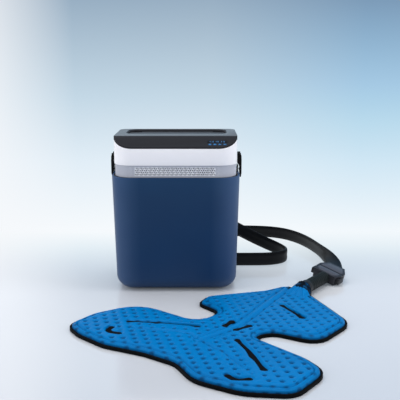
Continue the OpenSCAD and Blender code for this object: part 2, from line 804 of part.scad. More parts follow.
port_gap = 20;
nozzle_r = 4;
module coupling_socket() {
    color([0.29, 0.3, 0.34]) at_coupling() difference() {
        union() {
            translate([gap / 2, 0, -coupling_t / 2]) linear_extrude(coupling_t)
                polygon(half_plan(socket_d - gap / 2, 11));
        }
        for (y = [-1, 1]) translate([-1, y * port_gap / 2, 0]) rotate([0, 90, 0])
            cylinder(r = nozzle_r + 0.1, h = 14, $fn = round_fn);
    }
}

tab_l = 8;
tab_travel = 2.5;
module coupling_plug() {
    color([0.27, 0.28, 0.31]) at_coupling() {
        difference() {
            translate([-gap / 2, 0, -coupling_t / 2]) mirror([1, 0, 0])
                linear_extrude(coupling_t) polygon(half_plan(plug_d, 5));
            for (y = [-1, 1]) translate([-plug_d + 4,
                y * (coupling_l / 2 - tab_l / 2) - tab_l / 2 - 1, -coupling_t / 2 + 3])
                cube([plug_d - 8, tab_l + 2, coupling_t - 6]);
        }
        for (y = [-1, 1]) translate([-gap, y * port_gap / 2, 0]) rotate([0, 90, 0])
            cylinder(r = nozzle_r, h = 11, $fn = round_fn);
    }
}

// One squeeze tab at the end of the pad half. side is -1 or 1.
module release_tab(side) {
    h = coupling_l / 2;
    color([0.1, 0.1, 0.11]) at_coupling()
        translate([-plug_d + 4 + gap, side > 0 ? h - tab_l + tab_travel : -h - 3,
            -coupling_t / 2 + 3 + gap])
            cube([plug_d - 8 - 2 * gap, tab_l - tab_travel + 3, coupling_t - 6 - 2 * gap]);
}

sleeve_z = 14;
function sleeve_start() = [coupling_at[0], coupling_at[1], sleeve_z]
    - (plug_d + gap / 2 + eps) * coupling_dir();
module along_sleeve() {
    translate(sleeve_start()) rotate([0, 0, coupling_yaw]) rotate([0, -90, 0]) children();
}

module port_sleeve() {
    color([0.22, 0.26, 0.26]) along_sleeve()
        cylinder(r = sleeve_r, h = sleeve_l, $fn = round_fn);
}

clamp_l = 12;
clamp_t = 1.2;
// The room that the sleeve and its clamp take out of the pad's edge.
module sleeve_space() {
    along_sleeve() cylinder(r = sleeve_r + clamp_t + gap, h = sleeve_l + gap,
        $fn = round_fn);
}

module sleeve_clamp() {
    color("black") along_sleeve() translate([0, 0, sleeve_l - clamp_l]) difference() {
        cylinder(r = sleeve_r + clamp_t, h = clamp_l, $fn = round_fn);
        translate([0, 0, -1]) cylinder(r = sleeve_r + eps, h = clamp_l + 2, $fn = round_fn);
    }
}

// --- Water pad ------------------------------------------------------------------------

// The pad's outline: corners in millimetres with the radius of each.
pad_corners = [
    [-174, -246, 24], [-138, -198, 60], [-62, -153, 66], [45, -235, 30], [78, -190, 20],
    [42, -149, 14], [58, -116, 20], [165, -88, 60], [204, -64, 16], [232, -76, 14],
    [252, -112, 80], [296, -238, 40], [230, -314, 34], [160, -276, 30], [130, -294, 12],
    [200, -366, 60], [225, -410, 34], [172, -474, 36], [100, -467, 90], [34, -432, 60],
    [8, -382, 40], [-40, -350, 70], [-104, -322, 60], [-150, -282, 60]
];
corner_steps = 4;

// Points of a round corner between the corners before and after it.
function round_corner(a, b, c) = let (
        p = [b[0], b[1]], u = unit([a[0], a[1]] - p), v = unit([c[0], c[1]] - p),
        half = acos(u * v) / 2, r = b[2], mid = p + unit(u + v) * r / sin(half),
        turn = u[0] * v[1] - u[1] * v[0] < 0 ? 1 : -1,
        first = p + u * r / tan(half) - mid, from = atan2(first[1], first[0]))
    [for (i = [0:corner_steps]) let (angle = from + turn * (180 - 2 * half) * i / corner_steps)
        mid + r * [cos(angle), sin(angle)]];
function round_path(corners) = let (n = len(corners)) [for (i = [0:n - 1])
    each round_corner(corners[(i + n - 1) % n], corners[i], corners[(i + 1) % n])];

// The clockwise outline, run the other way round for solids.
pad_clockwise = round_path(pad_corners);
pad_outline = [for (i = [len(pad_clockwise) - 1:-1:0]) pad_clockwise[i]];

// A closed outline moved in by distance.
function moved_in(outline, distance) = let (n = len(outline)) [for (i = [0:n - 1])
    let (t = unit(outline[(i + 1) % n] - outline[(i + n - 1) % n]))
    outline[i] + distance * [-t[1], t[0]]];

// A strip of the given width along a line of points.
function strip(line, width) = let (n = len(line), sides = [for (i = [0:n - 1])
        let (t = unit(line[min(i + 1, n - 1)] - line[max(i - 1, 0)])) [-t[1], t[0]]])
    concat([for (i = [0:n - 1]) line[i] + width / 2 * sides[i]],
        [for (i = [n - 1:-1:0]) line[i] - width / 2 * sides[i]]);

pad_slots = [
    [[-71, -240], [-20, -246], [46, -260]],
    [[85, -257], [96, -250], [105, -240]],
    [[102, -273], [116, -264], [130, -257]],
    [[189, -168], [206, -198], [222, -228]],
    [[100, -312], [116, -352], [137, -412]],
    [[82, -426], [98, -437], [114, -437]],
    [[-92, -262], [-104, -266], [-104, -280], [-80, -288]]
];
weld_lines = [
    [[212, -84], [150, -180], [94, -272], [43, -310], [22, -293], [-60, -270]],
    [[43, -310], [66, -342], [84, -378], [104, -404]]
];
slot_w = 5;
weld_w = 3;

function in_pad(p) = min([for (q = moved_in(pad_outline, 0)) norm(p - q)]) > 20;
function crossings(p, outline) = let (n = len(outline)) len([for (i = [0:n - 1])
    let (a = outline[i], b = outline[(i + 1) % n])
    if ((a[1] > p[1]) != (b[1] > p[1])
        && p[0] < a[0] + (p[1] - a[1]) * (b[0] - a[0]) / (b[1] - a[1])) 1]);
function near_line(p, lines, reach) = min([for (line = lines, i = [0:len(line) - 2])
    let (a = line[i], d = line[i + 1] - a, f = max(0, min(1, (p - a) * d / (d * d))))
    norm(p - a - f * d)]) < reach;
// Under the hood, where the bladder has no dimples.
hood_line = [for (d = [sleeve_l - 5, sleeve_l + 38])
    let (q = sleeve_start() - d * coupling_dir()) [q[0], q[1]]];
dimple_rows = dimple_pitch * sin(60);
dimple_at = [for (row = [0:floor(420 / dimple_rows)], column = [0:floor(480 / dimple_pitch)])
    let (p = [-180 + (column + row % 2 / 2) * dimple_pitch, -470 + row * dimple_rows])
    if (crossings(p, pad_outline) % 2 == 1 && in_pad(p)
        && !near_line(p, pad_slots, 9) && !near_line(p, weld_lines, 8)
        && !near_line(p, [hood_line], 30)) p];

module pad_backing() {
    color([0.05, 0.06, 0.07]) difference() {
        slab(moved_in(pad_outline, binding_w), 0, backing_t);
        sleeve_space();
    }
}

module pad_binding() {
    color("black") difference() {
        ring_slab(pad_outline, moved_in(pad_outline, binding_w), gap, backing_t + 1 - gap);
        sleeve_space();
    }
}

// The gathered corner that rises from the pad to wrap the end of the sleeve.
module sleeve_hood() {
    intersection() {
        hull() {
            along_sleeve() translate([0, 0, sleeve_l - 5])
                cylinder(r = sleeve_r + clamp_t + gap + 1.6, h = 6, $fn = 24);
            along_sleeve() translate([backing_t - sleeve_z, -22, sleeve_l + 14])
                cube([bladder_t - 0.3, 44, 24]);
        }
        translate([-tub_w, -4 * tub_w, backing_t + 1 + gap]) cube(4 * tub_w);
    }
}

module pad_bladder() {
    z = backing_t;
    color("dodgerblue") difference() {
        union() {
            loft([
                lift(moved_in(pad_outline, binding_w + 0.4), z),
                lift(moved_in(pad_outline, binding_w + 0.4), z + bladder_t * 0.3),
                lift(moved_in(pad_outline, binding_w + 3), z + bladder_t * 0.75),
                lift(moved_in(pad_outline, binding_w + 8), z + bladder_t)]);
            sleeve_hood();
        }
        sleeve_space();
        for (line = pad_slots) translate([0, 0, z - 1]) linear_extrude(bladder_t + 2)
            polygon(strip(line, slot_w));
        for (line = weld_lines) translate([0, 0, z + bladder_t - 1.5]) linear_extrude(3)
            polygon(strip(line, weld_w));
        for (p = dimple_at) translate([p[0], p[1], z + bladder_t - 2]) rotate([0, 0, 45])
            hull() cylinder(r1 = 0.5, r2 = 3.6, h = 2.5, $fn = 4);
    }
}

// --- Latches --------------------------------------------------------------------------

// side is -1 for the left and 1 for the right; x grows outwards from the collar.
module at_side(side) {
    translate([side * collar_w / 2, 0, 0]) mirror([side < 0 ? 1 : 0, 0, 0]) children();
}

latch_low_z = tub_h - 10;
latch_top_z = latch_low_z + latch_h;
latch_pivot_z = latch_top_z - 6;
latch_pivot_x = latch_out - 5;
ear_t = 2.5;
lever_inner = latch_w - 2 * (ear_t + gap);

module latch_bracket(side) {
    color([0.08, 0.08, 0.09]) at_side(side) difference() {
        union() {
            translate([0, -latch_w / 2, collar_z + 1]) cube([1.8, latch_w, latch_top_z - collar_z + 5]);
            for (y = [-latch_w / 2, latch_w / 2 - ear_t]) translate([0, y, latch_pivot_z - 5])
                cube([latch_pivot_x + 3.4, ear_t, 10]);
        }
        translate([latch_pivot_x, -latch_w, latch_pivot_z]) rotate([-90, 0, 0])
            cylinder(r = latch_pin_r + running, h = 2 * latch_w, $fn = round_fn);
    }
}

module latch_pin(side) {
    color("silver") at_side(side) translate([latch_pivot_x, -latch_w / 2 - 0.4, latch_pivot_z])
        rotate([-90, 0, 0]) cylinder(r = latch_pin_r, h = latch_w + 0.8, $fn = round_fn);
}

// The lever: a thick curved grip over the rim, with a barrel at its pivot. Its back stands
// off the collar, and off the catch lower down.
module latch_lever(side) {
    barrel_r = 3.2;
    lever_in = 2.5;
    color([0.06, 0.06, 0.07]) at_side(side) difference() {
        union() {
            translate([latch_pivot_x, -lever_inner / 2, latch_pivot_z]) rotate([-90, 0, 0])
                cylinder(r = barrel_r, h = lever_inner, $fn = round_fn);
            translate([0, lever_inner / 2, 0]) rotate([90, 0, 0]) linear_extrude(lever_inner)
                polygon([
                    [lever_in, latch_pivot_z], [lever_in, latch_low_z + 26],
                    [latch_out - 4.8, latch_low_z + 23], [latch_out - 4.8, latch_low_z + 20],
                    [latch_out - 3.4, latch_low_z + 18], [latch_out - 3.4, latch_low_z + 16],
                    [latch_out - 4.8, latch_low_z + 14], [latch_out - 4.8, latch_low_z + 12],
                    [latch_out - 3.4, latch_low_z + 9], [latch_out - 3.4, latch_low_z],
                    [latch_out - 1, latch_low_z - 1], [latch_out, latch_low_z + 6],
                    [latch_out, latch_pivot_z - 2], [latch_out - 1.4, latch_pivot_z + 3],
                    [latch_pivot_x, latch_pivot_z + barrel_r - 0.1],
                    [latch_pivot_x, latch_pivot_z]]);
            translate([0, latch_w / 2, 0]) rotate([90, 0, 0]) linear_extrude(latch_w)
                polygon([
                    [latch_out - 3.4, latch_low_z + 4], [latch_out, latch_low_z + 6],
                    [latch_out, latch_pivot_z - 7], [lever_in, latch_pivot_z - 7],
                    [lever_in, latch_low_z + 26], [latch_out - 4.8, latch_low_z + 23],
                    [latch_out - 4.8, latch_low_z + 20], [latch_out - 3.4, latch_low_z + 18]]);
        }
        translate([latch_pivot_x, -latch_w, latch_pivot_z]) rotate([-90, 0, 0])
            cylinder(r = latch_pin_r + running, h = 2 * latch_w, $fn = round_fn);
    }
}

// The catch stands on the tub's rim, just inside the lever's nose.
module latch_catch(side) {
    color([0.08, 0.08, 0.09]) at_side(side)
        translate([0.3 + band_inset, lever_inner / 2, tub_h]) rotate([90, 0, 0])
            linear_extrude(lever_inner) polygon([
                [0, 0], [collar_inset - band_inset - 1, 0], [collar_inset - band_inset - 1, 1.5],
                [2, 3], [2, 9], [collar_inset - band_inset - 1.2, 10],
                [collar_inset - band_inset - 1.2, 11.5], [0, 13]]);
}

// --- Assembly -------------------------------------------------------------------------

base_sole();
tub_shell();
tub_foam();
tank_liner();
rim_gasket();
head_deck();
vent_band();
head_collar();
top_cap();
fill_lid();
lid_seal();
lid_tab();
lid_hinge_pin();
display_window();
control_board();
key(0);  // key_power
key(1);  // key_mode
key(2);  // key_up
key(3);  // key_down
cold_block();
thermo_modules();
heat_sink();
fan_frame();
fan_rotor();
power_inlet();
pump_housing();
pump_impeller();
suction_filter();
supply_tube();
return_tube();
hose_gland();
hose();
coupling_socket();
coupling_plug();
release_tab(1);  // release_tab_left
release_tab(-1);  // release_tab_right
port_sleeve();
sleeve_clamp();
pad_bladder();
pad_backing();
pad_binding();
latch_bracket(-1);  // latch_bracket_left
latch_bracket(1);  // latch_bracket_right
latch_pin(-1);  // latch_pin_left
latch_pin(1);  // latch_pin_right
latch_lever(-1);  // latch_lever_left
latch_lever(1);  // latch_lever_right
latch_catch(-1);  // latch_catch_left
latch_catch(1);  // latch_catch_right
deck_screws();
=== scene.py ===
"""Hot and cold therapy machine with its flat hose and water pad, dressed for the studio."""

import logging
import math
from collections.abc import Callable, Iterable, Sequence
from dataclasses import dataclass
from enum import Enum

import bmesh
import bpy
import numpy as np
from mathutils import Matrix, Vector


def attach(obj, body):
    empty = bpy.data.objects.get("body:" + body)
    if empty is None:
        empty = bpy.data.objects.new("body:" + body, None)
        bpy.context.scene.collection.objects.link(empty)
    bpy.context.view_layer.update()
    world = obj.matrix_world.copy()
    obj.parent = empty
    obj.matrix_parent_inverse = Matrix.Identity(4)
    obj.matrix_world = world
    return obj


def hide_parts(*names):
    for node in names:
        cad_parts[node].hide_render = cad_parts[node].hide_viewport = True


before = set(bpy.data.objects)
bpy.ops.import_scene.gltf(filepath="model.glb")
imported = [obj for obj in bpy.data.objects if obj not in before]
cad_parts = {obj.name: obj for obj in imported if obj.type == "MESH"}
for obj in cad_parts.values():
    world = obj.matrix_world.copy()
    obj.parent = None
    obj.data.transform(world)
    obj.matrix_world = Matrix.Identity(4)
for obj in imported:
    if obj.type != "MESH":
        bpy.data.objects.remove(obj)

LOG = logging.getLogger("therapy_machine")
MM = 0.001
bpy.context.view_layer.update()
Colour = tuple[float, float, float]

# The middle of the seam between the coupling's halves, in millimetres, and the way from the
# pad's half to the hose, in degrees about the upright.
COUPLING_AT = (303.0, -13.0, 15.6)
COUPLING_YAW = 52.0
COUPLING_WAY = (math.cos(math.radians(COUPLING_YAW)), math.sin(math.radians(COUPLING_YAW)))

# The middle of the hood that the bladder gathers round the sleeve, and how far behind the
# seam its front edge is drawn back to, in millimetres.
HOOD_AT = (239.0, -96.0)
HOOD_FOLD = 106.0


class Body(Enum):
    """The rigid bodies that a piece can ride on."""

    MACHINE = "machine"
    LID = "lid"
    PAD = "pad"
    LATCH_LEFT = "latch_left"
    LATCH_RIGHT = "latch_right"
    TAB_LEFT = "tab_left"
    TAB_RIGHT = "tab_right"
    KEY_POWER = "key_power"
    KEY_MODE = "key_mode"
    KEY_UP = "key_up"
    KEY_DOWN = "key_down"
    FAN = "fan"
    IMPELLER = "impeller"


# ---------------------------------------------------------------------------------------
# Shader sums
# ---------------------------------------------------------------------------------------


def srgb(code: str) -> Colour:
    """Turns a six-figure display colour into linear light.

    Args:
        code: six hexadecimal figures.

    Returns:
        Red, green and blue, from 0 to 1.
    """
    parts = [int(code[i : i + 2], 16) / 255 for i in (0, 2, 4)]
    r, g, b = (c / 12.92 if c <= 0.04045 else ((c + 0.055) / 1.055) ** 2.4 for c in parts)
    return (r, g, b)


class Term:
    """One value in a shader's sum: a socket that Python's operators work on."""

    def __init__(self, shop: "Workbench", socket: bpy.types.NodeSocket) -> None:
        """Wraps one output socket."""
        self.shop = shop
        self.socket = socket

    def _sum(self, operation: str, *values: "Term | float") -> "Term":
        """Adds one Math node and returns its result."""
        return self.shop.node("ShaderNodeMath", {"operation": operation}, dict(enumerate(values)))

    def __add__(self, other: "Term | float") -> "Term":
        """Adds."""
        return self._sum("ADD", self, other)

    __radd__ = __add__

    def __sub__(self, other: "Term | float") -> "Term":
        """Subtracts."""
        return self._sum("SUBTRACT", self, other)

    def __rsub__(self, other: "Term | float") -> "Term":
        """Subtracts this from a number."""
        return self._sum("SUBTRACT", other, self)

    def __mul__(self, other: "Term | float") -> "Term":
        """Multiplies."""
        return self._sum("MULTIPLY", self, other)

    __rmul__ = __mul__

    def __truediv__(self, other: "Term | float") -> "Term":
        """Divides."""
        return self._sum("DIVIDE", self, other)

    def __rtruediv__(self, other: "Term | float") -> "Term":
        """Divides a number by this."""
        return self._sum("DIVIDE", other, self)

    def __lt__(self, other: "Term | float") -> "Term":
        """1 where this is less."""
        return self._sum("LESS_THAN", self, other)

    def __gt__(self, other: "Term | float") -> "Term":
        """1 where this is more."""
        return self._sum("GREATER_THAN", self, other)

    def __mod__(self, other: "Term | float") -> "Term":
        """The remainder, never negative."""
        return self._sum("FLOORED_MODULO", self, other)

    def __pow__(self, other: "Term | float") -> "Term":
        """Raises to a power."""
        return self._sum("POWER", self, other)

    def __abs__(self) -> "Term":
        """The size without its sign."""
        return self._sum("ABSOLUTE", self)

    def floor(self) -> "Term":
        """Rounds down."""
        return self._sum("FLOOR", self)

    def least(self, other: "Term | float") -> "Term":
        """The lesser of two values."""
        return self._sum("MINIMUM", self, other)

    def most(self, other: "Term | float") -> "Term":
        """The greater of two values."""
        return self._sum("MAXIMUM", self, other)

    def held(self, low: float = 0.0, high: float = 1.0) -> "Term":
        """The value held between two bounds."""
        return self.least(high).most(low)


class Workbench:
    """One material's node tree, with a Principled shader that the finish fills in."""

    def __init__(self, name: str) -> None:
        """Starts an empty material.

        Args:
            name: the material's name.
        """
        self.material = bpy.data.materials.new(name)
        self.material.use_nodes = True
        self.tree = self.material.node_tree
        self.tree.nodes.clear()
        self.out = self.tree.nodes.new("ShaderNodeOutputMaterial")
        self.shader = self.tree.nodes.new("ShaderNodeBsdfPrincipled")
        self.tree.links.new(self.shader.outputs[0], self.out.inputs["Surface"])

    def node(
        self,
        kind: str,
        settings: dict[str, object] | None = None,
        inputs: dict[int | str, object] | None = None,
        output: int | str = 0,
    ) -> Term:
        """Adds one node.

        Args:
            kind: the node's type.
            settings: its own settings, or "stops" for a ramp, set first.
            inputs: a value or a Term for each socket.
            output: which output to return.

        Returns:
            The chosen output.
        """
        made = self.tree.nodes.new(kind)
        for key, value in (settings or {}).items():
            if key == "stops":
                ramp = made.color_ramp
                while len(ramp.elements) < len(value):
                    ramp.elements.new(0.5)
                for element, (place, colour) in zip(ramp.elements, value):
                    element.position = place
                    element.color = (*colour, 1.0)
            else:
                setattr(made, key, value)
        for key, value in (inputs or {}).items():
            self.feed(made.inputs[key], value)
        return Term(self, made.outputs[output])

    def feed(self, socket: bpy.types.NodeSocket, value: object) -> None:
        """Links a Term to a socket, or sets a plain value on it.

        Args:
            socket: the input socket.
            value: a Term, a number or a colour.
        """
        if isinstance(value, Term):
            self.tree.links.new(value.socket, socket)
        elif isinstance(value, tuple) and len(value) == 3 and len(socket.default_value) == 4:
            socket.default_value = (*value, 1.0)
        else:
            socket.default_value = value

    def place(self) -> Term:
        """The surface's own coordinates, in metres."""
        return self.node("ShaderNodeTexCoord", output="Object")

    def axes(self) -> tuple[Term, Term, Term]:
        """The surface's three coordinates, one by one."""
        sockets = self.node("ShaderNodeSeparateXYZ", inputs={0: self.place()}).socket.node.outputs
        return Term(self, sockets[0]), Term(self, sockets[1]), Term(self, sockets[2])

    def noise(self, scale: float, detail: float = 2.0) -> Term:
        """Cloudy noise, from 0 to 1.

        Args:
            scale: how fine it is, per metre.
            detail: how many finer layers it has.

        Returns:
            The noise.
        """
        return self.node(
            "ShaderNodeTexNoise",
            inputs={"Vector": self.place(), "Scale": scale, "Detail": detail},
        )

    def blend(self, share: Term | float, first: object, second: object) -> Term:
        """Mixes two colours.

        Args:
            share: how much of the second.
            first: the first colour.
            second: the second colour.

        Returns:
            The mixed colour.
        """
        colours = {0: share, 6: first, 7: second}
        return self.node("ShaderNodeMix", {"data_type": "RGBA"}, colours, output=2)

    def ramp(self, value: Term, *stops: tuple[float, Colour]) -> Term:
        """Turns a value into a colour by given stops."""
        return self.node("ShaderNodeValToRGB", {"stops": stops}, {0: value})

    def bump(self, height: Term, depth: float, strength: float = 1.0) -> Term:
        """Turns a height from 0 to 1 into a surface normal.

        Args:
            height: the height.
            depth: how deep 1 is, in metres.
            strength: how much of it shows.

        Returns:
            The normal.
        """
        relief = {"Height": height, "Distance": depth, "Strength": strength}
        return self.node("ShaderNodeBump", inputs=relief)

    def set(self, **values: object) -> None:
        """Sets the shader's sockets; an underscore in a name stands for a space."""
        for key, value in values.items():
            self.feed(self.shader.inputs[key.replace("_", " ")], value)


@dataclass(frozen=True)
class Lattice:
    """A slanted grid of welded dents, read both by the bladder's mesh and by its shader.

    Attributes:
        first: the step along one row, in millimetres.
        second: the step from one row to the next.
        shift: where one place lies.
    """

    first: tuple[float, float]
    second: tuple[float, float]
    shift: tuple[float, float] = (0.0, 0.0)

    def away(self, x: object, y: object, near: Callable[[object], object]) -> tuple[object, object]:
        """How far a point lies from the nearest place, along x and y.

        Args:
            x: the point's x, in millimetres.
            y: its y.
            near: takes a value's offset from the nearest whole number.

        Returns:
            Both distances.
        """
        (ax, ay), (bx, by) = self.first, self.second
        area = ax * by - ay * bx
        x, y = x - self.shift[0], y - self.shift[1]
        u = near((x * by - y * bx) / area)
        v = near((y * ax - x * ay) / area)
        return u * ax + v * bx, u * ay + v * by

    def reach(self, points: np.ndarray) -> np.ndarray:
        """How far each point lies from the nearest place, in millimetres."""
        return np.hypot(*self.away(points[:, 0], points[:, 1], lambda t: t - np.round(t)))

    def shade(self, x: Term, y: Term) -> Term:
        """The same distance, as a value in a shader, from x and y in millimetres."""
        dx, dy = self.away(x, y, lambda t: ((t + 0.5) % 1.0) - 0.5)
        return (dx * dx + dy * dy) ** 0.5


DENTS = Lattice((18.0, -2.0), (4.0, -14.7))


# ---------------------------------------------------------------------------------------
# Finishes
# ---------------------------------------------------------------------------------------


@dataclass(frozen=True)
class Moulded:
    """Moulded plastic or rubber: an even colour, fine grain and faint handling marks.

    Attributes:
        name: the material's name.
        code: its display colour.
        rough: its roughness.
        grain: how deep the moulded grain is, in millimetres.
        grain_size: how wide one grain is, in millimetres.
        coat: how much clear gloss lies on it.
        wear: how much the handling marks change the roughness.
        specular: how strongly its surface mirrors.
    """

    name: str
    code: str
    rough: float
    grain: float = 0.02
    grain_size: float = 0.8
    coat: float = 0.0
    wear: float = 0.08
    specular: float = 0.5

    def make(self) -> bpy.types.Material:
        """Builds the material."""
        shop = Workbench(self.name)
        colour = srgb(self.code)
        cloud = shop.noise(9.0, 3.0)
        shade = tuple(c * 0.88 for c in colour)
        shop.set(
            Base_Color=shop.blend(cloud, colour, shade),
            Roughness=shop.noise(38.0, 4.0) * self.wear + (self.rough - self.wear / 2),
            Coat_Weight=self.coat,
            Coat_Roughness=0.08,
            Specular_IOR_Level=self.specular,
            Normal=shop.bump(shop.noise(1000.0 / self.grain_size, 2.0), self.grain * MM),
        )
        return shop.material


@dataclass(frozen=True)
class Metal:
    """Bare metal with fine brushed or milled lines.

    Attributes:
        name: the material's name.
        code: its display colour.
        rough: its roughness.
    """

    name: str
    code: str
    rough: float

    def make(self) -> bpy.types.Material:
        """Builds the material."""
        shop = Workbench(self.name)
        lines = shop.node(
            "ShaderNodeTexNoise",
            inputs={
                "Vector": shop.node(
                    "ShaderNodeMapping",
                    inputs={"Vector": shop.place(), "Scale": (60.0, 2400.0, 2400.0)},
                ),
                "Scale": 1.0,
                "Detail": 3.0,
            },
        )
        shop.set(
            Base_Color=shop.blend(lines, srgb(self.code), tuple(c * 0.8 for c in srgb(self.code))),
            Metallic=1.0,
            Roughness=lines * 0.14 + (self.rough - 0.05),
            Normal=shop.bump(lines, 0.00001),
        )
        return shop.material


@dataclass(frozen=True)
class TubPaint:
    """The tub's navy plastic, satin with a faint orange-peel, with painted light: a little lighter
    towards the top, and painted highlights on its rounded corners.
    """

    name: str = "tub_navy"

    def make(self) -> bpy.types.Material:
        """Builds the material."""
        shop = Workbench(self.name)
        x, y, z = shop.axes()
        # Painted light: high lightens the tub towards its top, and edge paints highlights on the
        # rounded corners towards both sides.
        high = (z / 0.22).held()
        edge = (abs(x) * 15.0 - 0.98).held()
        body = shop.blend(high, srgb("153459"), srgb("1b3959"))
        body = shop.blend(edge * 0.85, body, srgb("4a6286"))
        shop.set(
            Base_Color=shop.blend(shop.noise(14.0, 3.0) * 0.35, body, srgb("12294a")),
            Roughness=shop.noise(30.0, 3.0) * 0.08 + 0.4,
            Specular_IOR_Level=0.2,
            Normal=shop.bump(shop.noise(650.0, 2.0), 0.00003),
        )
        return shop.material


@dataclass(frozen=True)
class CapGloss:
    """The cap's black plastic: a satin sloping panel under a polished flat top that is painted
    paler, as a painted reflection of the sky.

    Attributes:
        top: the height above which the flat top starts, in metres.
    """

    name: str = "cap_gloss"
    top: float = 0.2937

    def make(self) -> bpy.types.Material:
        """Builds the material."""
        shop = Workbench(self.name)
        _, _, z = shop.axes()
        flat = z > self.top
        cloud = shop.noise(12.0, 3.0)
        slope = shop.blend(cloud, srgb("27272b"), srgb("212125"))
        shop.set(
            # The flat top's paler colour is a painted reflection of the bright sky.
            Base_Color=shop.blend(flat, slope, srgb("5a5e63")),
            Roughness=shop.noise(40.0, 3.0) * 0.05 + 0.46 - flat * 0.2,
            Specular_IOR_Level=0.14,
            Normal=shop.bump(shop.noise(800.0, 2.0), 0.000008),
        )
        return shop.material


@dataclass(frozen=True)
class Perforated:
    """The vent band's grey plastic, with painted highlights round its open holes: pale dots and a
    paler grey, standing for light on the hole rims and through the holes.

    Attributes:
        pitch: distance between two dots in a row, in millimetres.
        middle: height of the middle row.
        pierced: half the width and half the height of the field of open holes.
        dotted: half the width and half the height of the fainter field of painted highlight dots
            round it.
    """

    name: str = "band_perforated"
    pitch: float = 4.0
    middle: float = 232.0
    pierced: tuple[float, float] = (74.0, 7.4)
    dotted: tuple[float, float] = (84.0, 9.0)

    def make(self) -> bpy.types.Material:
        """Builds the material."""
        shop = Workbench(self.name)
        x, y, z = shop.axes()
        u, v = x * 1000.0, z * 1000.0 - self.middle
        patch = (shop.noise(38.0, 2.0) * 1.6 - 0.25).held(0.3)
        rows = v / (self.pitch * math.sin(math.radians(60))) + 0.5
        columns = u / self.pitch + (rows.floor() % 2.0) * 0.5
        across = (columns % 1.0) - 0.5
        along = (rows % 1.0) - 0.5
        reach = (across * across + along * along * 0.75) ** 0.5
        field, pierced = (
            (abs(v) < high) * (abs(u) < wide) * (y < 0.0)
            for wide, high in (self.dotted, self.pierced)
        )
        # Painted highlights: pale dots in every other cell, and a paler grey over the open holes,
        # stand for light on the hole rims and through the holes.
        pale = (((columns.floor() + rows.floor()) % 2.0) > 0.5) * (reach < 0.5)
        grey = shop.blend(patch * 0.3, srgb("adafb9"), srgb("b7b9c2"))
        grey = shop.blend(pierced * 0.6, grey, srgb("cfd0d6"))
        dots = pale * patch * (field * 0.15 + pierced * 0.85)
        shop.set(
            Base_Color=shop.blend(dots, grey, srgb("fafafc")),
            Roughness=patch * 0.1 + 0.38,
            Normal=shop.bump(shop.noise(500.0, 2.0), 0.00003),
        )
        return shop.material


@dataclass(frozen=True)
class Fabric:
    """Woven or coated cloth.

    Attributes:
        name: the material's name.
        code: its display colour.
        deep: the colour in its folds.
        rough: its roughness.
        weave: the size of one thread, in millimetres.
        sheen: how much its fibres catch the light.
    """

    name: str
    code: str
    deep: str
    rough: float
    weave: float = 0.6
    sheen: float = 0.2

    def make(self) -> bpy.types.Material:
        """Builds the material."""
        shop = Workbench(self.name)
        x, y, _ = shop.axes()
        step = self.weave * MM
        warp = abs(((x / step) % 1.0) - 0.5) * 2.0
        weft = abs(((y / step) % 1.0) - 0.5) * 2.0
        thread = warp.most(weft)
        blotch = shop.noise(26.0, 4.0)
        shop.set(
            Base_Color=shop.blend(blotch, srgb(self.code), srgb(self.deep)),
            Roughness=blotch * 0.14 + (self.rough - 0.07),
            Sheen_Weight=self.sheen,
            Specular_IOR_Level=0.12,
            Normal=shop.bump(thread, 0.00008, 0.5),
        )
        return shop.material


@dataclass(frozen=True)
class BladderFilm:
    """The bladder's coated blue cloth, with painted shade in its welded dents and low hollows, and
    near-black painted shade in the folds of its gathered ruff.
    """

    name: str = "bladder_blue"

    @staticmethod
    def behind(x: Term, y: Term) -> Term:
        """How far a point lies behind the coupling's seam, down the sleeve, in millimetres."""
        (mid_x, mid_y, _), (east, north) = COUPLING_AT, COUPLING_WAY
        return (mid_x - x) * east + (mid_y - y) * north

    @staticmethod
    def beside(x: Term, y: Term) -> Term:
        """How far a point lies to the side of the sleeve, in millimetres."""
        (mid_x, mid_y, _), (east, north) = COUPLING_AT, COUPLING_WAY
        return (x - mid_x) * -north + (y - mid_y) * east

    def make(self) -> bpy.types.Material:
        """Builds the material."""
        shop = Workbench(self.name)
        x, y, z = shop.axes()
        x, y, z = x * 1000.0, y * 1000.0, z * 1000.0
        # Painted shade: dent darkens the middle of each welded dent, and low darkens where the skin
        # lies low.
        dent = (1.25 - DENTS.shade(x, y) / 4.6).held() * (z < 10.9)
        away = self.behind(x, y)
        ruff = (away > 88.0) * (away < 119.0) * (abs(self.beside(x, y)) < 30.0)
        low = ((10.2 - z) / 4.5).held()
        blotch = shop.noise(17.0, 4.0)
        blue = shop.blend(blotch, srgb("0073b5"), srgb("0063a1"))
        blue = shop.blend((dent * 0.75 + low * 0.6).least(0.9), blue, srgb("04365f"))
        # Painted shade, near black, in the folds of the gathered ruff.
        fold_shade = (shop.noise(140.0, 2.0) * 2.2 - 0.1).held(0.6)
        blue = shop.blend(ruff * fold_shade, blue, srgb("07121d"))
        shop.set(
            Base_Color=blue,
            Roughness=blotch * 0.14 + 0.32,
            Specular_IOR_Level=0.08,
            Normal=shop.bump(shop.noise(900.0, 2.0), 0.00006, 0.5),
        )
        return shop.material


@dataclass(frozen=True)
class Glow:
    """A lit readout.

    Attributes:
        name: the material's name.
        code: its display colour.
        strength: how bright it is.
    """

    name: str
    code: str
    strength: float

    def make(self) -> bpy.types.Material:
        """Builds the material."""
        shop = Workbench(self.name)
        flicker = shop.noise(300.0, 1.0)
        shop.set(
            Base_Color=shop.blend(flicker, srgb(self.code), srgb("1d5f9c")),
            Emission_Color=shop.blend(flicker * 0.4, srgb(self.code), srgb("2b79bd")),
            Emission_Strength=self.strength,
            Roughness=0.3,
        )
        return shop.material


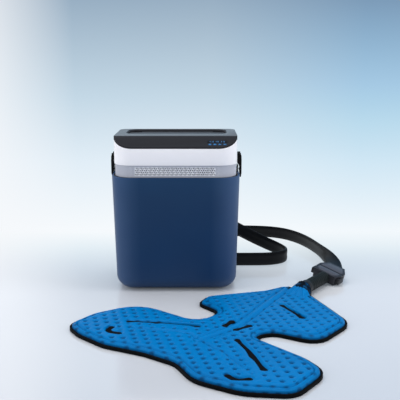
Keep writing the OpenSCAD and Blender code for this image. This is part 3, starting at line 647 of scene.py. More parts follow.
class Finishes:
    """Every finish of the machine, made once and handed out by name."""

    RECIPES: tuple = (
        TubPaint(),
        Perforated(),
        Moulded("sole_rubber", "17181a", 0.85, 0.05, 1.2),
        Moulded("foam_cream", "e0d6ad", 0.9, 0.3, 1.6),
        Moulded("liner_white", "dfe2e6", 0.32, 0.01),
        Moulded("deck_white", "dcdde0", 0.45, 0.03),
        Moulded("collar_white", "f7f5f8", 0.24, 0.008, 1.4, coat=0.3, wear=0.05),
        CapGloss(),
        Moulded("lid_satin", "3c3d41", 0.34, 0.02, 0.7),
        Moulded("seal_rubber", "121214", 0.8, 0.03),
        Moulded("latch_black", "070708", 0.4, 0.015, 0.6, specular=0.2),
        Moulded("coupling_grey", "26272d", 0.4, 0.03, 0.5, specular=0.35),
        # The coupling's top plates are painted paler, as a painted highlight where light falls on
        # their tops.
        Moulded("plate_grey_painted_lit", "454750", 0.36, 0.02, 0.5, specular=0.4),
        Moulded("grip_black", "1b1c20", 0.5, 0.04, 0.5),
        Moulded("key_slate", "24486b", 0.5, 0.02, specular=0.2),
        Moulded("hose_black", "06070a", 0.4, 0.03, 0.9, specular=0.2),
        Moulded("sleeve_rubber", "171d1e", 0.5, 0.05, 0.7, specular=0.25),
        Moulded("gland_black", "16171a", 0.5, 0.03),
        Moulded("board_green", "12482a", 0.4, 0.02),
        Moulded("ceramic_white", "e4e2da", 0.6, 0.01),
        Moulded("pump_black", "1d2023", 0.5, 0.03),
        Moulded("impeller_orange", "c4661c", 0.4, 0.02),
        Moulded("filter_white", "dddcd6", 0.5, 0.02),
        Moulded("tube_milky", "b9c6cc", 0.3, 0.01),
        Moulded("glass_dark", "16181c", 0.3, 0.002, 2.0, specular=0.15, wear=0.02),
        Metal("tab_bright", "d6d8dc", 0.18),
        Metal("pin_steel", "b8bbc0", 0.28),
        Metal("pin_dark", "1c1d20", 0.35),
        Metal("sink_alloy", "a2a6ab", 0.4),
        Metal("block_alloy", "c6c8cc", 0.32),
        BladderFilm(),
        Fabric("backing_fleece", "050607", "030304", 0.95, 1.1, 0.03),
        Fabric("binding_tape", "030405", "060709", 0.85, 0.9, 0.02),
        Glow("readout_blue", "3b8fd0", 0.5),
        Glow("readout_dim", "3c6a94", 0.22),
    )

    def __init__(self) -> None:
        """Builds every material."""
        self._made = {recipe.name: recipe.make() for recipe in self.RECIPES}

    def __getitem__(self, name: str) -> bpy.types.Material:
        """The material of that name."""
        return self._made[name]


# ---------------------------------------------------------------------------------------
# Mesh work
# ---------------------------------------------------------------------------------------


@dataclass(frozen=True)
class Plan:
    """A rectangle with one radius at its front corners and one at its back corners.

    Attributes:
        width: its width, in millimetres.
        depth: its depth.
        front: the radius at the front.
        back: the radius at the back.
    """

    width: float
    depth: float
    front: float
    back: float

    def inset(self, by: float) -> "Plan":
        """The same outline moved in by a distance."""
        front, back = max(self.front - by, 1.0), max(self.back - by, 1.0)
        return Plan(self.width - 2 * by, self.depth - 2 * by, front, back)

    def ring(self, bm: bmesh.types.BMesh, z: float) -> list[bmesh.types.BMEdge]:
        """Draws the outline as a closed ring of edges.

        Args:
            bm: the mesh to draw in.
            z: its height, in millimetres.

        Returns:
            The ring's edges.
        """
        w, d = self.width / 2, self.depth / 2
        corners = [
            bm.verts.new((x * MM, y * MM, z * MM))
            for x, y in ((-w, -d), (w, -d), (w, d), (-w, d))
        ]
        face = bm.faces.new(corners)
        for pair, radius in ((corners[:2], self.front), (corners[2:], self.back)):
            bmesh.ops.bevel(
                bm,
                geom=pair,
                offset=radius * MM,
                offset_type="OFFSET",
                segments=16,
                profile=0.5,
                affect="VERTICES",
                material=-1,
            )
            face = next(f for f in bm.faces if len(f.verts) > 4 and _level(f, z))
        edges = list(face.edges)
        bmesh.ops.delete(bm, geom=[face], context="FACES_ONLY")
        return edges


def _level(face: bmesh.types.BMFace, z: float) -> bool:
    """Whether a face lies flat at that height, in millimetres."""
    return all(abs(v.co.z - z * MM) < 1e-7 for v in face.verts)


def finish_mesh(
    bm: bmesh.types.BMesh,
    name: str,
    material: bpy.types.Material,
    sharp: float = 32.0,
    outward: bool = True,
) -> bpy.types.Object:
    """Closes a mesh's making: turns its faces out, shades it and makes its object.

    Args:
        bm: the mesh, which is freed.
        name: the object's name.
        material: its finish.
        sharp: an edge that turns by more than this many degrees stays sharp.
        outward: whether the normals are worked out again.

    Returns:
        The new object.
    """
    if outward:
        bmesh.ops.recalc_face_normals(bm, faces=bm.faces[:])
    for face in bm.faces:
        face.smooth = True
    for edge in bm.edges:
        edge.smooth = len(edge.link_faces) != 2 or edge.calc_face_angle() < math.radians(sharp)
    mesh = bpy.data.meshes.new(name)
    bm.to_mesh(mesh)
    bm.free()
    mesh.materials.append(material)
    made = bpy.data.objects.new(name, mesh)
    bpy.context.scene.collection.objects.link(made)
    return made


def seat(piece: bpy.types.Object, body: Body, *nodes: str) -> bpy.types.Object:
    """Makes a piece ride on its body and stand for its CAD nodes, and reports it.

    Args:
        piece: the finished piece.
        body: the body that carries it.
        nodes: the CAD nodes that it replaces.

    Returns:
        The same piece.
    """
    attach(piece, body.value)
    if nodes:
        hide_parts(*nodes)
    stands = ", ".join(nodes) or "nothing"
    LOG.info("%s rides on %s, stands for %s", piece.name, body.value, stands)
    return piece


def merged_copy(node: str) -> bmesh.types.BMesh:
    """A CAD node's mesh as a joined one.

    Args:
        node: the node's name.

    Returns:
        A mesh with its doubles merged and its flat faces whole.
    """
    bm = bmesh.new()
    bm.from_mesh(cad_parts[node].data)
    bmesh.ops.remove_doubles(bm, verts=bm.verts[:], dist=1e-6)
    bmesh.ops.dissolve_limit(
        bm,
        angle_limit=math.radians(0.5),
        use_dissolve_boundaries=False,
        verts=bm.verts[:],
        edges=bm.edges[:],
        delimit=set(),
    )
    return bm


def round_edges(
    bm: bmesh.types.BMesh, radius: float, segments: int = 2, turn: float = 40.0
) -> None:
    """Rounds every edge that turns sharply.

    Args:
        bm: the mesh.
        radius: the rounding, in millimetres.
        segments: its steps.
        turn: the least turn of an edge that is rounded, in degrees.
    """
    edges = [
        e for e in bm.edges if len(e.link_faces) == 2 and e.calc_face_angle() > math.radians(turn)
    ]
    bmesh.ops.bevel(
        bm,
        geom=edges,
        offset=radius * MM,
        offset_type="OFFSET",
        segments=segments,
        profile=0.5,
        affect="EDGES",
        clamp_overlap=True,
        material=-1,
    )


def softened(
    node: str,
    name: str,
    body: Body,
    material: bpy.types.Material,
    radius: float = 0.4,
    segments: int = 2,
) -> bpy.types.Object:
    """A moulded copy of a CAD node, with its sharp edges rounded.

    Args:
        node: the node's name.
        name: the new piece's name.
        body: the body that carries it.
        material: its finish.
        radius: how round its edges are, in millimetres.
        segments: steps in the rounding.

    Returns:
        The piece, which stands for the node.
    """
    bm = merged_copy(node)
    round_edges(bm, radius, segments)
    return seat(finish_mesh(bm, name, material, outward=False), body, node)


def smooth_curve(points: Sequence[Vector], steps: int) -> list[Vector]:
    """A smooth line through points.

    Args:
        points: the points it passes.
        steps: how many steps each stretch has.

    Returns:
        The line's points.
    """
    line: list[Vector] = []
    last = len(points) - 1
    for i in range(last):
        a, b, c, d = (points[min(max(i + k, 0), last)] for k in (-1, 0, 1, 2))
        for s in range(steps):
            t = s / steps
            line.append(
                0.5
                * (
                    2 * b
                    + (c - a) * t
                    + (2 * a - 5 * b + 4 * c - d) * t * t
                    + (3 * b - a - 3 * c + d) * t**3
                )
            )
    return [*line, points[last].copy()]


def skin(bm: bmesh.types.BMesh, rings: Sequence[list[bmesh.types.BMEdge]]) -> None:
    """Bridges rings of edges one after another and fills both ends.

    Args:
        bm: the mesh.
        rings: the rings, in order.
    """
    for first, second in zip(rings, rings[1:]):
        bmesh.ops.bridge_loops(bm, edges=[*first, *second])
    for ring in (rings[0], rings[-1]):
        bmesh.ops.contextual_create(bm, geom=ring)


def around(verts: Iterable[bmesh.types.BMVert]) -> list[bmesh.types.BMEdge]:
    """The edges that meet at any of the vertices."""
    return list({e for v in verts for e in v.link_edges})


def dress(looks: dict[str, str], finishes: Finishes) -> None:
    """Gives CAD nodes that keep their shape their materials.

    Args:
        looks: the finish of each node.
        finishes: the materials.
    """
    for node, look in looks.items():
        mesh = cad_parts[node].data
        mesh.materials.clear()
        mesh.materials.append(finishes[look])
        LOG.info("%s is dressed in %s", node, look)


# ---------------------------------------------------------------------------------------
# The machine
# ---------------------------------------------------------------------------------------


@dataclass
class Tub:
    """The insulated tub that stands under the head.

    Attributes:
        rim: its outline at the rim.
        height: the rim's height, in millimetres.
        taper: how far each side draws in down to the base.
        base_round: radius of the rounding round its base.
        sole: how high the sole lifts it.
        wall: the shell's thickness.
        lip: the rounding of the rim.
    """

    rim: Plan = Plan(240, 162, 40, 22)
    height: float = 221
    taper: float = 5
    base_round: float = 24
    sole: float = 2
    wall: float = 3
    lip: float = 1.0

    def level(self, z: float, inset: float) -> Plan:
        """The tub's outline at a height, moved in."""
        return self.rim.inset(self.taper * (1 - z / self.height) + inset)

    def build(self, finishes: Finishes) -> None:
        """Builds the shell and dresses what the tub holds.

        Args:
            finishes: the materials.
        """
        bm = bmesh.new()
        r = self.base_round
        stops = [
            (self.sole + r * (1 - math.cos(math.radians(a))), r * (1 - math.sin(math.radians(a))))
            for a in range(0, 91, 9)
        ]
        stops += [(60, 0), (120, 0), (180, 0), (self.height - self.lip, 0)]
        stops += [(self.height - 0.3 * self.lip, 0.3 * self.lip), (self.height, self.lip)]
        stops += [(self.height, self.wall - 0.3), (self.height - 0.4, self.wall)]
        stops += [(self.sole + r, self.wall), (self.sole + self.wall, self.wall + r - 4)]
        skin(bm, [self.level(z, inset).ring(bm, z) for z, inset in stops])
        seat(finish_mesh(bm, "tub_skin", finishes["tub_navy"]), Body.MACHINE, "tub_shell")
        dress({
            "base_sole": "sole_rubber", "tub_foam": "foam_cream", "tank_liner": "liner_white",
            "rim_gasket": "seal_rubber", "pump_housing": "pump_black",
            "pump_impeller": "impeller_orange", "suction_filter": "filter_white",
            "supply_tube": "tube_milky", "return_tube": "tube_milky",
        }, finishes)


@dataclass
class Head:
    """The head: vent band, collar, cap with its panel, fill lid and the cooler inside.

    Attributes:
        front: where the panel's front edge lies.
        panel_z: that edge's height.
        slope: the panel's slope, in degrees.
    """

    front: float = -76
    panel_z: float = 276.6
    slope: float = 27.8

    def on_panel(self, x: float, up: float, out: float) -> Matrix:
        """The place of a point on the sloping panel.

        Args:
            x: how far to the right, in millimetres.
            up: how far up the slope.
            out: how far out of it.

        Returns:
            A matrix whose z axis leaves the panel.
        """
        turn = Matrix.Rotation(math.radians(self.slope), 4, "X")
        start = Matrix.Translation((0, self.front * MM, self.panel_z * MM))
        return start @ turn @ Matrix.Translation((x * MM, up * MM, out * MM))

    def build(self, finishes: Finishes) -> None:
        """Builds and dresses the head.

        Args:
            finishes: the materials.
        """
        softened("head_collar", "collar_moulding", Body.MACHINE, finishes["collar_white"], 0.7, 3)
        softened("top_cap", "cap_moulding", Body.MACHINE, finishes["cap_gloss"], 0.5)
        softened("fill_lid", "lid_panel", Body.LID, finishes["lid_satin"], 0.5)
        softened("lid_tab", "lid_finger_tab", Body.LID, finishes["tab_bright"], 0.35)
        softened("display_window", "readout_glass", Body.MACHINE, finishes["glass_dark"], 0.15)
        dress({
            "vent_band": "band_perforated", "head_deck": "deck_white", "deck_screws": "pin_steel",
            "lid_seal": "seal_rubber", "lid_hinge_pin": "pin_steel", "control_board": "board_green",
            "cold_block": "block_alloy", "thermo_modules": "ceramic_white",
            "heat_sink": "sink_alloy", "fan_frame": "pump_black", "fan_rotor": "grip_black",
            "power_inlet": "latch_black",
        }, finishes)


@dataclass
class Panel:
    """The lit readout and the four keys on the head's slope.

    Attributes:
        head: the head that carries it.
        middle: the middle of the readout, to the right of the centre line.
        readout_up: the readout's middle, up the slope.
        keys_up: the keys' middle, up the slope.
        pitch: distance between two keys.
        bar: how far each lit bar stands out of what carries it.
    """

    head: Head
    middle: float = 77
    readout_up: float = 18
    keys_up: float = 9.4
    pitch: float = 9
    bar: float = 0.16

    SEGMENTS = {
        "top": (0, 1, True), "upper_left": (-0.5, 0.5, False), "upper_right": (0.5, 0.5, False),
        "middle": (0, 0, True), "lower_left": (-0.5, -0.5, False),
        "lower_right": (0.5, -0.5, False), "bottom": (0, -1, True),
    }
    FIGURES = {
        "4": ("upper_left", "upper_right", "middle", "lower_right"),
        "2": ("top", "upper_right", "middle", "lower_left", "bottom"),
        "0": ("top", "upper_left", "upper_right", "lower_left", "lower_right", "bottom"),
        "3": ("top", "upper_right", "middle", "lower_right", "bottom"),
    }

    def lit(
        self, bm: bmesh.types.BMesh, at: Sequence[float], size: Sequence[float], out: float
    ) -> None:
        """Lays one lit bar on the slope.

        Args:
            bm: the mesh.
            at: its middle, to the right and up the slope, in millimetres.
            size: its width and height.
            out: how far out of the slope its middle lies.
        """
        grow = Matrix.Diagonal((size[0] * MM, size[1] * MM, self.bar * MM, 1.0))
        bmesh.ops.create_cube(bm, size=1.0, matrix=self.head.on_panel(*at, out) @ grow)

    def figure(self, bm: bmesh.types.BMesh, figure: str, x: float, tall: float) -> None:
        """Draws one seven-bar figure in raised bars.

        Args:
            bm: the mesh.
            figure: which figure.
            x: its middle, in millimetres.
            tall: half its height.
        """
        for name in self.FIGURES[figure]:
            side, up, flat = self.SEGMENTS[name]
            size = (tall * 0.8, 0.7) if flat else (0.7, tall * 0.8)
            at = (x + side * tall, self.readout_up + up * tall)
            self.lit(bm, at, size, self.bar / 2)

    def mark(
        self,
        key: Body,
        x: float,
        bars: Iterable[tuple[float, float, float, float]],
        glow: bpy.types.Material,
    ) -> bpy.types.Object:
        """Draws a key's lit mark from flat bars.

        Args:
            key: the body of the key.
            x: the key's middle.
            bars: each bar's middle and sizes on the key, in millimetres.
            glow: its finish.

        Returns:
            The mark.
        """
        bm = bmesh.new()
        for mid_x, mid_y, *size in bars:
            self.lit(bm, (x + mid_x, self.keys_up + mid_y), size, 0.25)
        return finish_mesh(bm, f"{key.value}_mark", glow)

    def build(self, finishes: Finishes) -> None:
        """Builds the figures, the keys and their marks.

        Args:
            finishes: the materials.
        """
        bm = bmesh.new()
        for figure, x in (("4", -12.5), ("2", -7.5), ("3", 7.5), ("0", 12.5)):
            self.figure(bm, figure, self.middle + x, 1.9)
        for step in range(3):
            at = (self.middle - 2 + 2 * step, self.readout_up)
            self.lit(bm, at, (0.9, 2.2 + step), self.bar / 2)
        seat(finish_mesh(bm, "readout_figures", finishes["readout_dim"]), Body.MACHINE)
        ring = [(0, 1.1, 2.2, 0.5), (0, -1.1, 2.2, 0.5), (-1.1, 0, 0.5, 2.2), (1.1, 0, 0.5, 2.2)]
        bars = [(0, 0.9, 2.6, 0.5), (0, 0, 2.6, 0.5), (0, -0.9, 2.6, 0.5)]
        plus = [(0, 0, 2.6, 0.6), (0, 0, 0.6, 2.6)]
        minus = [(0, 0, 2.6, 0.6)]
        keys = (Body.KEY_POWER, Body.KEY_MODE, Body.KEY_UP, Body.KEY_DOWN)
        glow = finishes["readout_blue"]
        for i, (key, shape) in enumerate(zip(keys, (ring, bars, plus, minus))):
            softened(key.value, f"{key.value}_cap", key, finishes["key_slate"], 0.3)
            seat(self.mark(key, self.middle + (i - 1.5) * self.pitch, shape, glow), key)


@dataclass
class Latches:
    """The two draw latches that hold the head on the tub."""

    def build(self, finishes: Finishes) -> None:
        """Rounds and dresses both latches.

        Args:
            finishes: the materials.
        """
        for side, body in (("left", Body.LATCH_LEFT), ("right", Body.LATCH_RIGHT)):
            black = finishes["latch_black"]
            softened(f"latch_lever_{side}", f"lever_{side}", body, black, 0.6)
            softened(f"latch_bracket_{side}", f"bracket_{side}", Body.MACHINE, black, 0.4)
            softened(f"latch_catch_{side}", f"catch_{side}", Body.MACHINE, black, 0.25)
            dress({f"latch_pin_{side}": "pin_dark"}, finishes)


# ---------------------------------------------------------------------------------------
# Hose and coupling
# ---------------------------------------------------------------------------------------


@dataclass
class Hose:
    """The flat twin hose that leaves the tub's back and ends in the coupling.

    Attributes:
        width: its width, in millimetres.
        thick: its thickness.
        lean_from: the stop of the route from which it turns flat.
        end_lean: how far it has turned at the coupling, in degrees.
        steps: how many rings each stretch of the route has.
    """

    width: float = 28
    thick: float = 7
    lean_from: float = 33
    end_lean: float = 104
    steps: int = 4

    ROUTE = (
        (0.010, 0.102, 0.118), (0.011, 0.122, 0.117), (0.017, 0.144, 0.112),
        (0.032, 0.163, 0.105), (0.056, 0.176, 0.094), (0.082, 0.184, 0.080),
        (0.110, 0.188, 0.065), (0.140, 0.189, 0.049), (0.168, 0.186, 0.035),
        (0.194, 0.178, 0.024), (0.217, 0.163, 0.017), (0.230, 0.144, 0.0145),
        (0.234, 0.122, 0.0145), (0.224, 0.103, 0.0145), (0.204, 0.091, 0.0145),
        (0.178, 0.086, 0.0145), (0.130, 0.085, 0.0145), (0.070, 0.085, 0.0145),
        (0.010, 0.087, 0.0145), (-0.040, 0.098, 0.0145), (-0.080, 0.124, 0.0145),
        (-0.103, 0.162, 0.0145), (-0.107, 0.206, 0.0145), (-0.092, 0.250, 0.0145),
        (-0.060, 0.285, 0.0145), (-0.016, 0.306, 0.0145), (0.040, 0.314, 0.0145),
        (0.100, 0.316, 0.0145), (0.160, 0.316, 0.0145), (0.212, 0.309, 0.0145),
        (0.250, 0.290, 0.0145), (0.277, 0.257, 0.0145), (0.296, 0.216, 0.0145),
        (0.309, 0.170, 0.0145), (0.318, 0.122, 0.015), (0.323, 0.078, 0.016),
        (0.325, 0.046, 0.0165), (0.32147, 0.01064, 0.0156),
    )

    def lean(self, place: float) -> float:
        """How far the hose has turned at a stop of its route, in degrees."""
        f = max(0.0, (place - self.lean_from) / (len(self.ROUTE) - 1 - self.lean_from))
        return -self.end_lean * f * f * (3 - 2 * f)

    def ring(
        self, bm: bmesh.types.BMesh, at: Vector, way: Vector, lean: float
    ) -> list[bmesh.types.BMEdge]:
        """Draws one cross-section: a flat oval with a shallow waist between its two bores.

        Args:
            bm: the mesh.
            at: its middle.
            way: the hose's direction there.
            lean: its turn about that direction, in degrees.

        Returns:
            Its edges.
        """
        side = way.cross(Vector((0, 0, 1))).normalized()
        up = side.cross(way)
        wide = up * math.cos(math.radians(lean)) + side * math.sin(math.radians(lean))
        flat = way.cross(wide)
        half, deep = self.width / 2 * MM, self.thick / 2 * MM
        made = bmesh.ops.create_circle(bm, segments=28, radius=1.0)["verts"]
        for vert in made:
            x, y = vert.co.x, vert.co.y
            reach = math.copysign(abs(x) ** 0.75, x)
            waist = 1.0 - 0.22 * math.exp(-((x / 0.28) ** 2))
            rise = math.copysign(abs(y) ** 0.7, y)
            vert.co = at + wide * half * reach + flat * deep * rise * waist
        return around(made)

    def build(self, finishes: Finishes, coupling: "Coupling") -> None:
        """Args:
            finishes: the materials.
            coupling: what it ends in.
        """
        stops = [Vector(p) for p in self.ROUTE]
        path = smooth_curve(stops, self.steps)
        bm = bmesh.new()
        rings = []
        for i, at in enumerate(path):
            way = (path[min(i + 1, len(path) - 1)] - path[max(i - 1, 0)]).normalized()
            if i == 0:
                way = Vector((0, 1, 0))
            elif i == len(path) - 1:
                way = -coupling.way
            rings.append(self.ring(bm, at, way, self.lean(i / self.steps)))
        skin(bm, rings)
        tube = finish_mesh(bm, "flat_hose", finishes["hose_black"], 60.0)
        hose = seat(tube, Body.MACHINE, "hose")
        length = sum((b - a).length for a, b in zip(path, path[1:]))
        LOG.info("the hose is %.0f mm long", length / MM)
        self.width * MM
        softened("hose_gland", "hose_exit", Body.MACHINE, finishes["gland_black"], 0.8)


@dataclass
class Coupling:
    """The quick coupling between the hose and the pad, with its sleeve and clamp.

    Attributes:
        middle: the middle of its seam, in millimetres.
        yaw: the hose's direction there, in degrees.
        roll: how far it leans on its lower grip.
        thick: how thick both halves are.
        sleeve_start: how far behind the seam the sleeve starts.
        sleeve_long: the sleeve's length.
        sleeve_radius: its outer radius.
        sleeve_z: its height over the floor.
    """

    middle: tuple[float, float, float] = COUPLING_AT
    yaw: float = COUPLING_YAW
    roll: float = 14
    thick: float = 18
    sleeve_start: float = 24.15
    sleeve_long: float = 79
    sleeve_radius: float = 12.2
    sleeve_z: float = 14

    @property
    def way(self) -> Vector:
        """The direction from the pad's half to the hose."""
        return Vector((math.cos(math.radians(self.yaw)), math.sin(math.radians(self.yaw)), 0))

    def plate(
        self, finishes: Finishes, name: str, corners: Sequence[tuple[float, float]]
    ) -> bpy.types.Object:
        """Builds the plate that is let into the top of one half, painted a paler grey as a painted
        highlight of the lit top.

        Args:
            finishes: the materials.
            name: its name.
            corners: its corners, from the seam and along it, in millimetres.

        Returns:
            The plate.
        """
        bm = bmesh.new()
        high = (self.thick / 2 + 0.25) * MM
        top = bm.faces.new([bm.verts.new((x * MM, y * MM, high)) for x, y in corners])
        wall = bmesh.ops.extrude_face_region(bm, geom=[top])["geom"]
        low = [g for g in wall if isinstance(g, bmesh.types.BMVert)]
        bmesh.ops.translate(bm, vec=(0, 0, -1.2 * MM), verts=low)
        bmesh.ops.recalc_face_normals(bm, faces=bm.faces[:])
        round_edges(bm, 0.5, 2)
        place = Matrix.Translation(Vector(self.middle) * MM)
        place @= Matrix.Rotation(math.radians(self.yaw), 4, "Z")
        place @= Matrix.Rotation(math.radians(self.roll), 4, "X")
        bmesh.ops.transform(bm, matrix=place, verts=bm.verts[:])
        return finish_mesh(bm, name, finishes["plate_grey_painted_lit"])

    def sleeve(self, finishes: Finishes) -> None:
        """Builds the ribbed rubber sleeve.

        Args:
            finishes: the materials.
        """
        bm = bmesh.new()
        start = Vector((self.middle[0], self.middle[1], self.sleeve_z)) * MM
        turn = Matrix.Rotation(math.radians(self.yaw), 4, "Z")
        turn @= Matrix.Rotation(math.radians(-90), 4, "Y")
        rings = []
        stops = [(0, -0.6), (0.6, 0)]
        for groove in range(9):
            first = 5 + 6.5 * groove
            stops += [(first, 0), (first + 0.9, -0.7), (first + 2.9, -0.7), (first + 3.8, 0)]
        stops += [(self.sleeve_long - 0.6, 0), (self.sleeve_long, -0.6)]
        for along, thick in stops:
            at = start - self.way * (self.sleeve_start + along) * MM
            verts = bmesh.ops.create_circle(
                bm, segments=40, radius=(self.sleeve_radius + thick) * MM,
                matrix=Matrix.Translation(at) @ turn,
            )["verts"]
            rings.append(around(verts))
        skin(bm, rings)
        seat(finish_mesh(bm, "ribbed_sleeve", finishes["sleeve_rubber"]), Body.PAD, "port_sleeve")

    def build(self, finishes: Finishes) -> None:
        """Builds both halves, the squeeze tabs, the sleeve and the clamp.

        Args:
            finishes: the materials.
        """
        grey, black = finishes["coupling_grey"], finishes["grip_black"]
        self.socket = softened("coupling_socket", "hose_half", Body.MACHINE, grey, 2.4, 4)
        softened("coupling_plug", "pad_half", Body.PAD, grey, 1.2, 3)
        softened("release_tab_left", "squeeze_tab_left", Body.TAB_LEFT, black, 1.2, 3)
        softened("release_tab_right", "squeeze_tab_right", Body.TAB_RIGHT, black, 1.2, 3)
        softened("sleeve_clamp", "clamp_band", Body.PAD, black, 0.3)
        hose_side = ((2.5, -23), (9, -23), (26, -13.5), (26, 13.5), (9, 23), (2.5, 23))
        pad_side = ((-2.5, 22), (-12, 22), (-20, 15), (-20, -15), (-12, -22), (-2.5, -22))
        self.hose_plate = seat(self.plate(finishes, "hose_half_plate", hose_side), Body.MACHINE)
        seat(self.plate(finishes, "pad_half_plate", pad_side), Body.PAD)
        self.sleeve(finishes)


# ---------------------------------------------------------------------------------------
# The water pad
# ---------------------------------------------------------------------------------------


def distance_to(points: np.ndarray, line: np.ndarray, closed: bool = False) -> np.ndarray:
    """How far each point lies from a line of points.

    Args:
        points: the points, one a row.
        line: the line's points.
        closed: whether the line ends where it starts.

    Returns:
        The least distance of each point.
    """
    ends = np.roll(line, -1, axis=0) if closed else line[1:]
    starts = line if closed else line[:-1]
    best = np.full(len(points), 1e9)
    for a, b in zip(starts, ends):
        d = b - a
        f = np.clip(((points - a) @ d) / max(d @ d, 1e-12), 0, 1)
        best = np.minimum(best, np.linalg.norm(points - a - f[:, None] * d, axis=1))
    return best


def hump(away: np.ndarray, wide: float) -> np.ndarray:
    """A soft bump: 1 where the distance is nought, and falling off over that width."""
    return np.exp(-((away / wide) ** 2))


